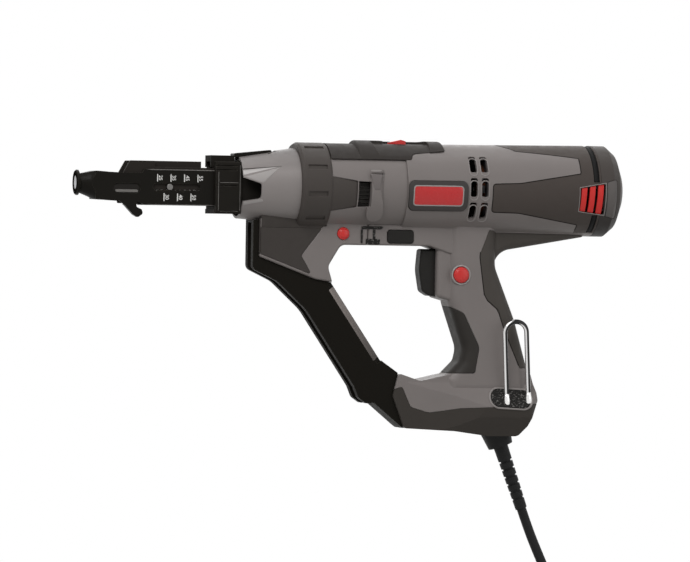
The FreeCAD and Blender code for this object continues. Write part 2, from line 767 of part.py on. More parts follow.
def motor_seats():
    """Ribs in the housing that hold the gear case, the bearings, the stator and the switch."""
    room = barrel_form(WALL / 2, MOTOR_X + 1, TAIL_X - 1)
    plate = MOTOR_X + MOTOR_PLATE_OFFSET
    bearing = plate + BEARING_LIP
    stator = MOTOR_X + STATOR_OFFSET
    case_end = CASE_X + CASE_LENGTH
    rear = TAIL_X - REAR_BEARING_OFFSET
    rear_end = rear + REAR_BEARING[2]
    wide = 2 * BARREL_REAR_RADIUS
    rings = [
        tube(plate, bearing, FRONT_BEARING[0] - 2.5, wide),
        tube(bearing, bearing + FRONT_BEARING[2], FRONT_BEARING[0], wide),
        tube(stator + 3.0, stator + 7.0, STATOR_RADIUS, wide),
        tube(stator + STATOR_LENGTH - 7.0, stator + STATOR_LENGTH - 3.0, STATOR_RADIUS, wide),
        tube(case_end - 8.0, case_end - 3.0, CASE_RADIUS, wide),
    ]
    hub = tube(rear, rear_end, REAR_BEARING[0], REAR_BEARING[0] + WALL)
    bridge = block(rear, rear_end, -5.0, 5.0, -wide, wide).cut(
        rod_x(rear - 1, rear_end + 1, REAR_BEARING[0])
    )
    rib = block(MOTOR_X + 48.0, MOTOR_X + 51.0, SWITCH_HALF, HANDLE_HALF - WALL / 2, -72.0, -54.0)
    return [ring.common(room) for ring in rings] + [hub, bridge.common(room), rib, mirrored(rib)]


def trigger_opening():
    half = TRIGGER_HALF + SLIDE_FIT
    front = MOTOR_X + 10.0
    back = MOTOR_X + 35.0 + TRIGGER_TRAVEL
    return block(front, back, -half, half, TRIGGER_LOW_Z - SLIDE_FIT, TRIGGER_HIGH_Z + SLIDE_FIT)


def badge_area(margin, inset):
    """The badge's rounded rectangle on the left side, with its edge drawn in by margin."""
    low = MOTOR_X + BADGE_OFFSET + margin
    high = MOTOR_X + BADGE_OFFSET + BADGE_LENGTH - margin
    top = BADGE_MIDDLE_Z + BADGE_HEIGHT / 2 - margin
    bottom = BADGE_MIDDLE_Z - BADGE_HEIGHT / 2 + margin
    radius = 4.5 - margin / 2
    corners = [(low, bottom, radius), (high, bottom, radius), (high, top, radius), (low, top, radius)]
    return side_prism(corners, -BEYOND, 0, inset)


def badge():
    """A raised frame on the left side with a bare, sunk face."""
    layer = barrel_form(-BADGE_PROUD).cut(barrel_form(SKIN - SEAM))
    plate = badge_area(0, SEAM).common(layer)
    return plate.cut(badge_area(BADGE_BORDER, 0).cut(barrel_form(SEAM - BADGE_PROUD)))


def lock_opening():
    x = MOTOR_X + LOCK_BUTTON[0]
    inner = -SWITCH_HALF
    return rod_y(-HANDLE_HALF - 1, inner, LOCK_BUTTON_RADIUS + SLIDE_FIT / 2, x, LOCK_BUTTON[1])


def bar_prism(grow, low, high):
    half_x = LATCH_BAR_SIZE[0] / 2 + grow
    half_z = LATCH_BAR_SIZE[1] / 2 + grow
    x = MOTOR_X + LATCH_BAR[0]
    z = LATCH_BAR[1]
    corners = [
        (x - half_x, z - half_z, 2.5), (x + half_x, z - half_z, 2.5),
        (x + half_x, z + half_z, 2.5), (x - half_x, z + half_z, 2.5),
    ]
    return side_prism(corners, low, high)


def hook_frame():
    """The belt hook's first foot, the way its legs run and the way across between them."""
    foot = vec(MOTOR_X + HOOK_FOOT[0], HOOK_FOOT[1], HOOK_FOOT[2])
    up = vec(*HOOK_LEAN).normalize()
    across = vec(up.z, 0, -up.x).normalize()
    return foot, up, across


def hook_sockets():
    foot, up, across = hook_frame()
    feet = [foot, foot + across * HOOK_WIDTH]
    return [Part.makeCylinder(HOOK_WIRE_RADIUS, HOOK_LEG, place, up) for place in feet]


def belt_hook():
    """A bent wire loop beside the handle, its two legs standing in the base."""
    foot, up, across = hook_frame()
    top = foot + up * HOOK_LEG
    far_foot = foot + across * HOOK_WIDTH
    far_top = top + across * HOOK_WIDTH
    crown = (top + far_top) * 0.5 + up * (HOOK_WIDTH / 2)
    edges = [
        Part.makeLine(foot, top), Part.Arc(top, crown, far_top).toShape(),
        Part.makeLine(far_top, far_foot),
    ]
    return swept(edges, HOOK_WIRE_RADIUS)


def cord_exit():
    """Where the cord boot leaves the base, and the way that it points."""
    tilt = math.radians(CORD_TILT)
    return vec(MOTOR_X + 79.6, 0, -181.0), vec(math.sin(tilt), 0, -math.cos(tilt))


def boot_form():
    place, way = cord_exit()
    return Part.makeCone(BOOT_RADIUS, BOOT_RADIUS * 0.82, BOOT_LENGTH, place - way * (WALL + 1), way)


def sleeve_form():
    """The bend protector: a taper with narrow ring grooves near its free end."""
    place, way = cord_exit()
    start = place - way
    tip_radius = CORD_DIAMETER / 2 + 0.8
    taper = Part.makeCone(SLEEVE_RADIUS, tip_radius, SLEEVE_LENGTH, start, way)
    groove_count = 6
    for step in range(groove_count):
        along = SLEEVE_LENGTH * (0.35 + 0.1 * step)
        outer = Part.makeCylinder(BOOT_RADIUS, 1.6, start + way * along, way)
        core = Part.makeCylinder(CORD_DIAMETER / 2 + 0.3, 1.6, start + way * along, way)
        taper = taper.cut(outer.cut(core))
    return taper


def base_shoe():
    """The dark lower cup of the base, with the hole that the cord boot sits in."""
    cup = base_form(0).cut(base_form(WALL)).common(side_prism(SHOE, -BEYOND, BEYOND, SEAM))
    return cup.cut([boot_form()] + hook_sockets())


def motor_housing():
    """Both halves of the motor housing, and the soft grips that are set into them."""
    outer = motor_form(0)
    pocket = outer.cut(motor_form(SKIN))
    soft = outer.cut(motor_form(SKIN - SEAM))
    gear_barrel = rod_x(CHIN_X - 1, MOTOR_X, GEAR_BARREL_RADIUS + SEAM)
    near_barrel = barrel_form(-BARREL_GAP, MOTOR_X - 1, TAIL_X + 60).fuse(gear_barrel)
    back_room = side_prism(BACK_GRIP, -BEYOND, BEYOND).cut(near_barrel)
    wider_barrel = barrel_form(-BARREL_GAP - SEAM, MOTOR_X - 1, TAIL_X + 60)
    back_area = side_prism(BACK_GRIP, -BEYOND, BEYOND, SEAM).cut(wider_barrel)
    front_area = side_prism(FRONT_GRIP, -BEYOND, BEYOND, SEAM)
    barrel_skin = barrel_form(0).cut(barrel_form(SKIN))
    barrel_soft = barrel_form(0).cut(barrel_form(SKIN - SEAM))
    shell = outer.cut(motor_form(WALL, MOTOR_X - 1, TAIL_X + 1)).cut([
        gear_barrel,
        barrel_skin.common(tail_region(0)),
        side_prism(SHOE, -BEYOND, BEYOND),
        side_prism(VENT, -BEYOND, BEYOND),
        badge_area(0, 0).cut(barrel_form(SKIN)),
    ] + cooling_slots())
    shell = shell.fuse(motor_seats() + screw_bosses(MOTOR_SCREWS))
    shell = shell.cut([
        cover_pocket(),
        pocket.common(back_room),
        pocket.common(side_prism(FRONT_GRIP, -BEYOND, BEYOND)),
        trigger_opening(),
        lock_opening(),
        bar_prism(SLIDE_FIT / 2, -BEYOND, -CHIN_HALF + 2 * WALL + LATCH_BAR_TRAVEL),
    ] + screw_holes(MOTOR_SCREWS) + hook_sockets())
    return {
        "motor_housing_left": left_half(shell),
        "motor_housing_right": right_half(shell),
        "handle_grips": soft.common(back_area.fuse(front_area)).cut(screw_holes(MOTOR_SCREWS)),
        "tail_sleeve": barrel_soft.common(tail_region(SEAM)).cut(tail_groove()),
        "base_shoe": base_shoe(),
    }


# Rear cap and its louvres

def cap_form(inset):
    radius = BARREL_REAR_RADIUS - inset
    return turned([
        (TAIL_X, 0), (TAIL_X, radius), (TAIL_X + 10.0, radius), (TAIL_X + 16.0, radius - 5.0),
        (END_X - inset, CAP_END_RADIUS), (END_X - inset, 0),
    ])


CAP_INSERT = at(TAIL_X, [(4.4, 6.5, 1.0), (12.5, 9.0, 2.0), (12.5, -20.5, 2.0), (4.4, -18.5, 1.0)])


def rear_cap():
    shell = cap_form(0).cut(cap_form(CAP_WALL))
    insert_room = side_prism(CAP_INSERT, -BEYOND, BEYOND).cut(cap_form(SKIN))
    return shell.cut([side_prism(VENT, -BEYOND, BEYOND), insert_room])


def cap_inserts():
    layer = cap_form(0).cut(cap_form(SKIN - SEAM))
    return layer.common(side_prism(CAP_INSERT, -BEYOND, BEYOND, SEAM))


def vent_grille():
    """The left louvre: upright bars in the vent, held by an edge behind the barrel wall."""
    front_x = TAIL_X - 16.4
    inner = BARREL_REAR_RADIUS - WALL - 0.4 - LOUVRE_DEPTH
    edge_layer = tube(front_x - 4, TAIL_X + 8, inner, inner + LOUVRE_DEPTH)
    bar_layer = tube(front_x - 4, TAIL_X + 8, inner, BARREL_REAR_RADIUS - 0.8)
    edge = edge_layer.common(side_prism(VENT, -BEYOND, 0, -1.5))
    bars = bar_layer.common(side_prism(VENT, -BEYOND, 0, SLIDE_FIT))
    first_gap = front_x + 1.2 + LOUVRE_BAR
    gap = LOUVRE_PITCH - LOUVRE_BAR
    lows = [first_gap + step * LOUVRE_PITCH for step in range(-1, LOUVRE_BARS)]
    return fused(
        edge.cut(louvre_gaps(lows, gap, -14.2, 1.6)), bars.cut(louvre_gaps(lows, gap, -30.0, 17.4)),
    )


def louvre_gaps(lows, gap, bottom, top):
    """Cutters for the gaps between the louvre's bars, leaning back a little from bottom to top."""
    gaps = []
    for low in lows:
        foot = low + LOUVRE_LEAN * bottom
        head = low + LOUVRE_LEAN * top
        gaps.append(
            side_prism(
                [(foot, bottom), (foot + gap, bottom), (head + gap, top), (head, top)], -BEYOND, 0,
            )
        )
    return gaps


# Front housing, leg, rail and collar

WHEEL_WINDOW = [
    (WHEEL_X - SLIDE_FIT, 4.2), (WHEEL_X + WHEEL_WIDTH + SLIDE_FIT, 3.8),
    (WHEEL_X + WHEEL_WIDTH + SLIDE_FIT, -14.0), (WHEEL_X - SLIDE_FIT, -14.4),
]
TONGUE = [(GEAR_X - 1.0, 7.6), (WHEEL_X - 1.0, 4.4), (WHEEL_X - 1.0, -14.6), (GEAR_X - 1.0, -17.8)]
LEG_PANEL = at(LEG_X, [
    (-45.8, -30.0, 1.0), (-45.8, -49.8, 2.0), (-7.0, -64.4, 1.0), (-15.0, -50.5, 2.0), (0.5, -30.0, 1.0),
])
PILLAR = at(LEG_X, [
    (29.8, -34.0), (29.8, 1.0), (32.5, 9.0, 2.0), (39.5, 9.0, 2.0), (42.2, 1.0), (42.2, -34.0),
])
PILLAR_PROUD = 2.8


def pillar():
    """The half round column that stands on the left side of the gear barrel behind the depth wheel."""
    middle = LEG_X + 36.0
    column = Part.makeCylinder(6.2, 60.0, vec(middle, -GEAR_BARREL_RADIUS + WALL, -45.0), vec(0, 0, 1))
    bound = rod_x(GEAR_X, MOTOR_X, GEAR_BARREL_RADIUS + PILLAR_PROUD)
    return column.common(side_prism(PILLAR, -BEYOND, 0)).common(bound)


def tongue_layer(lift, x_low):
    """A sloping layer that runs down from the barrel's face to the depth wheel."""
    return turned([
        (x_low, 0), (x_low, GEAR_BARREL_RADIUS + lift), (WHEEL_X, GEAR_BARREL_RADIUS - SKIN + lift),
        (WHEEL_X, 0),
    ])


def release_opening():
    x = LEG_X + RELEASE_BUTTON[0]
    inner = -LEG_HALF + 2 * WALL + RELEASE_BUTTON_TRAVEL
    return rod_y(-BEYOND, inner, RELEASE_BUTTON_RADIUS + SLIDE_FIT / 2, x, RELEASE_BUTTON[1])


def front_housing():
    """Both halves of the gear housing with its leg, and the panels set into the leg."""
    barrel = rod_x(GEAR_X, MOTOR_X, GEAR_BARREL_RADIUS)
    outer = fused(barrel, leg_form(0), pillar(), mirrored(pillar()))
    hollow = rod_x(GEAR_X - 1, MOTOR_X + 1, GEAR_BARREL_RADIUS - WALL)
    shell = outer.cut([hollow, leg_form(WALL)])
    panel_room = side_prism(LEG_PANEL, -BEYOND, -LEG_HALF + SKIN)
    tongue_room = side_prism(TONGUE, -BEYOND, BEYOND).cut(tongue_layer(-SKIN - SEAM, GEAR_X - 1.0))
    seats = [
        tube(CASE_X + 2.0, CASE_X + 6.0, CASE_RADIUS, GEAR_BARREL_RADIUS - WALL / 2),
        tube(MOTOR_X - 8.0, MOTOR_X - 4.0, CASE_RADIUS, GEAR_BARREL_RADIUS - WALL / 2),
    ]
    shell = shell.fuse(seats + screw_bosses(LEG_SCREWS)).cut([
        panel_room, mirrored(panel_room), tongue_room, side_prism(WHEEL_WINDOW, -BEYOND, BEYOND),
        cover_pocket(), release_opening(),
    ] + screw_holes(LEG_SCREWS))
    panel = side_prism(LEG_PANEL, -LEG_HALF, -LEG_HALF + SKIN - SEAM / 2, SEAM)
    return {
        "front_housing_left": left_half(shell),
        "front_housing_right": right_half(shell),
        "leg_panels": Part.makeCompound([panel, mirrored(panel).cut(screw_holes(LEG_SCREWS))]),
    }


def inner_bevel():
    """A cutter for the bevel along the right edge of the arm's inner face."""
    start = vec(RAIL_INNER[0][0], 0, RAIL_INNER[0][1])
    run = vec(RAIL_INNER[1][0], 0, RAIL_INNER[1][1]) - start
    out = vec(-run.z, 0, run.x).normalize()
    side = vec(0, 1, 0)
    section = [(-RAIL_BEVEL, 0), (1, -RAIL_BEVEL - 1), (1, 1), (-RAIL_BEVEL, 1)]
    points = [start + out * away + side * (RAIL_HALF + across) for away, across in section]
    return Part.Face(Part.makePolygon(points + points[:1])).extrude(run)


def feed_rail():
    """The black arm that guides the screw strip from the base up to the nose, open along its front."""
    slab = side_prism(RAIL_OUTLINE, -RAIL_HALF, RAIL_HALF)
    track = side_prism(RAIL_OUTLINE, -TRACK_HALF, TRACK_HALF)
    kept = track.copy()
    kept.translate(vec(TRACK_DEPTH * 0.83, 0, TRACK_DEPTH * 0.56))
    entry = block(0, LEG_X + 43.0, -BEYOND, BEYOND, -BEYOND, 0)
    bevel = inner_bevel()
    return slab.cut([bevel, mirrored(bevel), track.cut(kept).common(entry), nose_clearance(SEAM)])


def collar_ring():
    """The dark collar between cone and gear barrel, with pads round it and a tongue on each side."""
    inner = GEAR_BARREL_RADIUS - WALL + 0.6
    web_inner = CONE_REAR_RADIUS - 3.8
    web = COLLAR_X + COLLAR_WEB
    ring = turned([
        (COLLAR_X, web_inner), (COLLAR_X, COLLAR_RADIUS - COLLAR_CHAMFER),
        (COLLAR_X + 2.0, COLLAR_RADIUS),
        (GEAR_X - 1.5, COLLAR_RADIUS), (GEAR_X, COLLAR_RADIUS - 0.8), (GEAR_X, inner), (web, inner),
        (web, web_inner),
    ])
    groove_count = 10
    groove = block(COLLAR_X + 4.5, GEAR_X - 3.5, -COLLAR_RADIUS - 5, -COLLAR_RADIUS + 1.1, -1.8, 1.8)
    grooves = [
        turn_about_spindle(groove, 10 + step * 360 / groove_count)
        for step in range(groove_count)
    ]
    tongue = side_prism(TONGUE, -BEYOND, BEYOND, SEAM).common(tongue_layer(0.3, GEAR_X - 1.0))
    tongue = tongue.cut(
        [tongue_layer(-SKIN, GEAR_X - 1.0), rod_x(GEAR_X - 2, GEAR_X - SEAM, COLLAR_RADIUS - 0.5)]
    )
    return fused(ring.cut(grooves), tongue)


# Nose: cone, guide, latch, nosepiece and feed slide

SLIDE_HALF = PLATE_HALF - PLATE_THICKNESS - SLIDE_FIT
LATCH_PIVOT = (CONE_FRONT_X + 22.0, 22.5)


def cone_loft(wall_front, wall_rear):
    front = Part.makeCircle(
        CONE_FRONT_RADIUS - wall_front, vec(CONE_FRONT_X, 0, -CONE_FRONT_DROP), vec(1, 0, 0),
    )
    rear = Part.makeCircle(CONE_REAR_RADIUS - wall_rear, vec(COLLAR_X, 0, 0), vec(1, 0, 0))
    return Part.makeLoft([Part.Wire([front]), Part.Wire([rear])], True, True)


def nose_cone():
    """The grey cone, open in front, with a window on each side and a slot on top for the latch."""
    shell = cone_loft(0, 0).cut(cone_loft(CONE_WALL, CONE_WALL + 0.6))
    window = side_prism(at(CONE_FRONT_X, [
        (-2.0, 5.8), (1.0, 5.2, 1.0), (13.0, 1.2, 2.0), (13.0, -9.4, 2.5), (-2.0, -11.8),
    ]), -BEYOND, BEYOND)
    facet = side_prism(at(CONE_FRONT_X, [(-2.0, 6.2), (29.0, 14.2), (-2.0, 11.6)]), -BEYOND, BEYOND)
    facet = facet.cut(cone_loft(CONE_FACET, 0))
    slot = block(
        CONE_FRONT_X - 1, CONE_FRONT_X + LATCH_LENGTH, -LATCH_HALF - SLIDE_FIT, LATCH_HALF + SLIDE_FIT,
        14, 40,
    )
    pin = rod_y(-9.0, 9.0, LATCH_PIN_RADIUS + RUNNING_FIT, LATCH_PIVOT[0], LATCH_PIVOT[1])
    return shell.cut([window, facet, slot, pin])


def nose_latch():
    """The small lever on top of the cone that lets the feed nose out, on its cross pin."""
    front = CONE_FRONT_X - 3.5
    side = [
        (front, 20.2, 0.8), (front, 23.0, 1.0), (front + LATCH_LENGTH, 26.0, 1.2),
        (front + LATCH_LENGTH, 21.6, 1.2),
    ]
    lever = side_prism(side, -LATCH_HALF, LATCH_HALF)
    reach = LATCH_HALF + 2.2
    return fused(lever, rod_y(-reach, reach, LATCH_PIN_RADIUS, LATCH_PIVOT[0], LATCH_PIVOT[1]))


def guide_rooms(grow_side, grow_top, front, rear):
    """The guide's inside as three stepped channels for plates, slide and ridge, each grown by a wall."""
    plates = PLATE_HALF + SLIDE_FIT + grow_side
    slide = SLIDE_HALF + SLIDE_FIT + grow_side
    ridge = SLIDE_RIDGE_HALF + SLIDE_FIT + grow_side * 0.6
    low = PLATE_BOTTOM_Z - SLIDE_FIT - grow_side
    return [
        block(front, rear, -plates, plates, low, PLATE_TOP_Z + SLIDE_FIT + grow_top),
        block(front, rear, -slide, slide, low, SLIDE_TOP_Z + SLIDE_FIT + grow_top),
        block(front, rear, -ridge, ridge, 0, SLIDE_RIDGE_Z + SLIDE_FIT + grow_top),
    ]


def guide_block():
    """The black guide that the nose slides in: a ribbed frame in front and a sleeve inside the cone."""
    frame = block(GUIDE_FRONT_X, CONE_FRONT_X, -GUIDE_HALF, GUIDE_HALF, GUIDE_BOTTOM_Z, GUIDE_TOP_Z)
    frame = frame.makeFillet(1.2, [edge for edge in frame.Edges if edge.BoundBox.XLength > 10])
    roof = block(
        GUIDE_FRONT_X - 2.5, CONE_FRONT_X - 4.0, -GUIDE_ROOF_HALF, GUIDE_ROOF_HALF, GUIDE_TOP_Z - 4,
        GUIDE_ROOF_Z,
    )
    foot = block(
        GUIDE_FRONT_X - 0.8, GUIDE_FRONT_X + 2, -GUIDE_HALF + 1, GUIDE_HALF - 1, GUIDE_BOTTOM_Z,
        GUIDE_BOTTOM_Z + 3.4,
    )
    sleeve = guide_rooms(GUIDE_WALL, 1.2, CONE_FRONT_X - 1, COLLAR_X - 1)
    solid = fused(frame, roof, foot, *sleeve)
    grooves = []
    for z in (GUIDE_TOP_Z - 3.0, GUIDE_TOP_Z - 6.0, -0.4):
        groove = block(
            GUIDE_FRONT_X - 1, CONE_FRONT_X - 3.0, -GUIDE_HALF - 1, -GUIDE_HALF + 0.8, z - 0.5, z + 0.5,
        )
        grooves += [groove, mirrored(groove)]
    room = SETTING_BUTTON_RADIUS + SLIDE_FIT
    button_way = block(
        GUIDE_FRONT_X - 1, SETTING_BUTTON_X + SLIDE_STROKE + room,
        -PLATE_HALF - SETTING_BUTTON_PROUD - SLIDE_FIT, 0, SETTING_BUTTON_Z - room,
        SETTING_BUTTON_Z + room,
    )
    return solid.cut(grooves + [button_way] + guide_rooms(0, 0, GUIDE_FRONT_X - 10, COLLAR_X))


NOSE_PLATE = [
    (13.0, 8.4), (31.0, 7.7, 20.0), (PLATE_FRONT_X - 1.5, 7.9), (PLATE_FRONT_X, PLATE_TOP_Z, 0.8),
    (PLATE_REAR_X, PLATE_TOP_Z, 2.0), (PLATE_REAR_X, PLATE_BOTTOM_Z, 2.0),
    (PLATE_FRONT_X, PLATE_BOTTOM_Z, 1.0),
    (PLATE_FRONT_X - 4.0, -13.4), (13.0, -11.8),
]
NOSE_TIP = [
    (NOSE_LIP_LENGTH - 1, 6.2), (13.5, 8.7, 8.0), (NOSE_TIP_LENGTH, 8.1), (NOSE_TIP_LENGTH, -12.3),
    (12.0, -11.8, 8.0),
    (5.0, -9.3), (NOSE_LIP_LENGTH - 1, -8.6),
]
FINGER_PULL = [
    (30.0, -12.2), (35.0, -16.2, 3.0), (41.0, -22.6, 2.0), (44.5, -24.6, 1.5), (48.3, -21.8, 2.0),
    (47.3, -18.8, 1.2),
    (43.5, -17.0, 1.0), (43.0, -13.2),
]


def nosepiece():
    """The adjustable nose: a lipped tip with a bore, and two plates that run back along the feed slide."""
    side = side_prism(NOSE_TIP, -PLATE_HALF, PLATE_HALF)
    bound = turned(
        [
            (0, 0), (0, 7.4), (NOSE_LIP_LENGTH, 7.4), (10.0, 10.4), (NOSE_TIP_LENGTH, 17.5),
            (NOSE_TIP_LENGTH, 0),
        ]
    )
    lip = turned([
        (0, 0), (0, NOSE_LIP_RADIUS - 0.8), (0.7, NOSE_LIP_RADIUS),
        (NOSE_LIP_LENGTH - 0.6, NOSE_LIP_RADIUS),
        (NOSE_LIP_LENGTH, NOSE_LIP_RADIUS - 1.2), (NOSE_LIP_LENGTH, 0),
    ])
    plate = side_prism(NOSE_PLATE, -PLATE_HALF, -PLATE_HALF + PLATE_THICKNESS)
    pull = side_prism(FINGER_PULL, -PLATE_HALF, -PLATE_HALF + PLATE_THICKNESS)
    pull_grip = side_prism(FINGER_PULL, -PLATE_HALF, -PLATE_HALF + 5.0)
    pull_grip = pull_grip.common(block(0, BEYOND, -BEYOND, BEYOND, -BEYOND, PLATE_BOTTOM_Z + 0.5))
    solid = fused(side.common(bound), lip, plate, mirrored(plate), pull, pull_grip)
    low = SETTING_BUTTON_X - SETTING_BACK
    high = SETTING_BUTTON_X + SETTING_FORWARD
    half = SETTING_BUTTON_RADIUS + SLIDE_FIT / 2
    slot = [rod_y(-BEYOND, 0, half, x, SETTING_BUTTON_Z) for x in (low, high)]
    slot.append(block(low, high, -BEYOND, 0, SETTING_BUTTON_Z - half, SETTING_BUTTON_Z + half))
    steps = int((SETTING_FORWARD + SETTING_BACK) / SETTING_STEP)
    teeth = [
        rod_y(-BEYOND, 0, 0.8, low + SETTING_STEP * step, SETTING_BUTTON_Z - half)
        for step in range(steps + 1)
    ]
    recess = side_prism([(26.0, 0.0, 3.2), (46.0, 0.0, 3.2), (46.0, -6.9, 3.2), (26.0, -6.9, 3.2)],
                        -PLATE_HALF - 1, -PLATE_HALF + PLATE_THICKNESS * 0.6)
    return solid.cut([rod_x(-1, NOSE_TIP_LENGTH + 1, NOSE_BORE_RADIUS), recess] + slot + teeth)


def feed_slide():
    """The slide that carries strip and sprocket back over the bit, with cheeks either side of the strip."""
    side = [
        (SLIDE_FRONT_X, SLIDE_BOTTOM_Z, 1.0), (SLIDE_FRONT_X, 6.5, 1.0),
        (SLIDE_FRONT_X + 5.5, SLIDE_RIDGE_Z, 1.0),
        (SLIDE_TALL_REAR_X, SLIDE_RIDGE_Z), (SLIDE_TALL_REAR_X, SLIDE_TOP_Z),
        (SLIDE_REAR_X, SLIDE_TOP_Z),
        (SLIDE_REAR_X, SLIDE_BOTTOM_Z),
    ]
    body = side_prism(side, -SLIDE_HALF, SLIDE_HALF)
    ridge = block(
        SLIDE_TALL_REAR_X - 1, SLIDE_RIDGE_REAR_X, -SLIDE_RIDGE_HALF, SLIDE_RIDGE_HALF, 0, SLIDE_RIDGE_Z,
    )
    holder_room = BIT_HOLDER_RADIUS + 0.5
    holder_front = SPINDLE_FRONT_X - SLIDE_STROKE - 8.0
    sprocket_back = SPROCKET_X + SPROCKET_RADIUS + 0.8
    button_floor = -SLIDE_HALF + 3.4
    cutters = [
        block(0, SPROCKET_X + 1, -STRIP_SLOT_HALF, STRIP_SLOT_HALF, -BEYOND, BEYOND),
        block(
            SPROCKET_X, sprocket_back, -STRIP_SLOT_HALF, STRIP_SLOT_HALF, -BEYOND,
            SPROCKET_Z + SPROCKET_RADIUS + 0.6,
        ),
        rod_x(0, holder_front, SLIDE_BIT_BORE),
        rod_x(holder_front, SLIDE_REAR_X + 1, holder_room),
        rod_y(
            -SLIDE_HALF - 1, SLIDE_HALF + 1, SPROCKET_PIN_RADIUS + RUNNING_FIT, SPROCKET_X, SPROCKET_Z,
        ),
        rod_y(
            -SLIDE_HALF - 1, button_floor, SETTING_BUTTON_RADIUS + RUNNING_FIT, SETTING_BUTTON_X,
            SETTING_BUTTON_Z,
        ),
    ]
    return fused(body, ridge).cut(cutters)


def setting_button():
    """The spring button that holds the nosepiece at one of its length marks."""
    outer = -PLATE_HALF - SETTING_BUTTON_PROUD
    inner = -SLIDE_HALF + 2.0
    button = rod_y(outer, inner, SETTING_BUTTON_RADIUS, SETTING_BUTTON_X, SETTING_BUTTON_Z)
    rim = [edge for edge in button.Edges if abs(edge.CenterOfMass.y - outer) < TINY]
    return button.makeFillet(0.5, rim)


def feed_sprocket():
    """Two toothed discs on one hub, which pull the strip up by one screw at each stroke."""
    corners = []
    for step in range(2 * SPROCKET_TEETH):
        middle = step * math.pi / SPROCKET_TEETH
        reach = SPROCKET_RADIUS if step % 2 == 0 else SPROCKET_RADIUS * 0.66
        spread = math.pi / SPROCKET_TEETH * (0.22 if step % 2 == 0 else 0.3)
        for angle in (middle - spread, middle + spread):
            corners.append((SPROCKET_X + reach * math.cos(angle), SPROCKET_Z + reach * math.sin(angle)))
    outer = STRIP_SLOT_HALF - SLIDE_FIT
    disc = side_prism(corners, outer - SPROCKET_DISC, outer)
    hub = rod_y(-outer, outer, SPROCKET_HUB_RADIUS, SPROCKET_X, SPROCKET_Z)
    reach = SLIDE_HALF - 0.1
    pin = rod_y(-reach, reach, SPROCKET_PIN_RADIUS, SPROCKET_X, SPROCKET_Z)
    return fused(hub, disc, mirrored(disc), pin)


# Gearbox, clutch, spindle and depth stop

FLANGE_X = CASE_X + CASE_PLATE + 0.6
CARRIER_X = FLANGE_X + CLUTCH_FLANGE + 2 * DOG_HEIGHT + CLUTCH_TRAVEL - 1.3
GEARS_X = CARRIER_X + CARRIER_THICKNESS + 0.6
GEARS_END_X = GEARS_X + GEAR_WIDTH
RING_TEETH = SUN_TEETH + 2 * PLANET_TEETH
PLANET_RADIUS = GEAR_MODULE * (SUN_TEETH + PLANET_TEETH) / 2
TOOTH_TIP = 0.8 * GEAR_MODULE
TOOTH_ROOT = 1.05 * GEAR_MODULE
BUSH_INNER = SPINDLE_RADIUS + RUNNING_FIT
BUSH_OUTER = BUSH_INNER + BUSH_WALL
CASE_NOSE_X = CASE_X - CASE_NOSE_LENGTH
SOCKET_LENGTH = 10.0


def gear_case():
    """The metal gear case: a cup round the gears with a long nose that carries the spindle."""
    return turned([
        (CASE_NOSE_X, BUSH_OUTER), (CASE_NOSE_X, CASE_NOSE_RADIUS), (CASE_X, CASE_NOSE_RADIUS),
        (CASE_X, CASE_RADIUS),
        (CASE_X + CASE_LENGTH, CASE_RADIUS), (CASE_X + CASE_LENGTH, CASE_BORE),
        (CASE_X + CASE_PLATE, CASE_BORE),
        (CASE_X + CASE_PLATE, BUSH_OUTER),
    ])


def ring_gear():
    turn = math.pi / RING_TEETH
    blank = tube(GEARS_X - 0.2, GEARS_END_X + 0.2, CASE_BORE - 4.5, CASE_BORE)
    return blank.cut(
        gear(GEARS_X - 1, GEARS_END_X + 1, RING_TEETH, TOOTH_ROOT, TOOTH_TIP, -GEAR_BACKLASH, turn)
    )


def sun_pinion():
    return gear(GEARS_X - 0.2, GEARS_END_X + 0.6, SUN_TEETH, TOOTH_TIP, TOOTH_ROOT, GEAR_BACKLASH, 0.0)


def planet_gears():
    planet = gear(
        GEARS_X, GEARS_END_X, PLANET_TEETH, TOOTH_TIP, TOOTH_ROOT, GEAR_BACKLASH, math.pi / PLANET_TEETH,
    )
    planet = planet.cut(rod_x(GEARS_X - 1, GEARS_END_X + 1, PLANET_PIN_RADIUS + RUNNING_FIT))
    planet.translate(vec(0, PLANET_RADIUS, 0))
    return [turn_about_spindle(planet, step * 360 / PLANET_COUNT) for step in range(PLANET_COUNT)]


def dogs(x_low, first_angle):
    """The clutch dogs: ring sectors that stand up from a face."""
    ring = tube(x_low, x_low + DOG_HEIGHT, DOG_INNER_RADIUS, DOG_OUTER_RADIUS)
    half = math.radians(DOG_ANGLE / 2)
    far = 2 * DOG_OUTER_RADIUS
    sector = [
        (0, 0), (far * math.cos(half), -far * math.sin(half)),
        (far * math.cos(half), far * math.sin(half)),
    ]
    dog = ring.common(prism(sector, on_yz, x_low - 1, x_low + DOG_HEIGHT + 1))
    return [
        turn_about_spindle(dog, first_angle + step * 360 / CLUTCH_DOGS)
        for step in range(CLUTCH_DOGS)
    ]


def planet_carrier():
    disc = rod_x(CARRIER_X, CARRIER_X + CARRIER_THICKNESS, CASE_BORE - RUNNING_FIT)
    pin = rod_x(CARRIER_X + 1, GEARS_END_X + 0.4, PLANET_PIN_RADIUS, PLANET_RADIUS)
    pins = [turn_about_spindle(pin, step * 360 / PLANET_COUNT) for step in range(PLANET_COUNT)]
    return fused(disc, *(pins + dogs(CARRIER_X - DOG_HEIGHT, 180.0 / CLUTCH_DOGS)))


def hexagon(x_low, x_high, across_flats):
    corner = across_flats / math.sqrt(3)
    corners = [
        (corner * math.cos(step * math.pi / 3), corner * math.sin(step * math.pi / 3))
        for step in range(6)
    ]
    return prism(corners, on_yz, x_low, x_high)


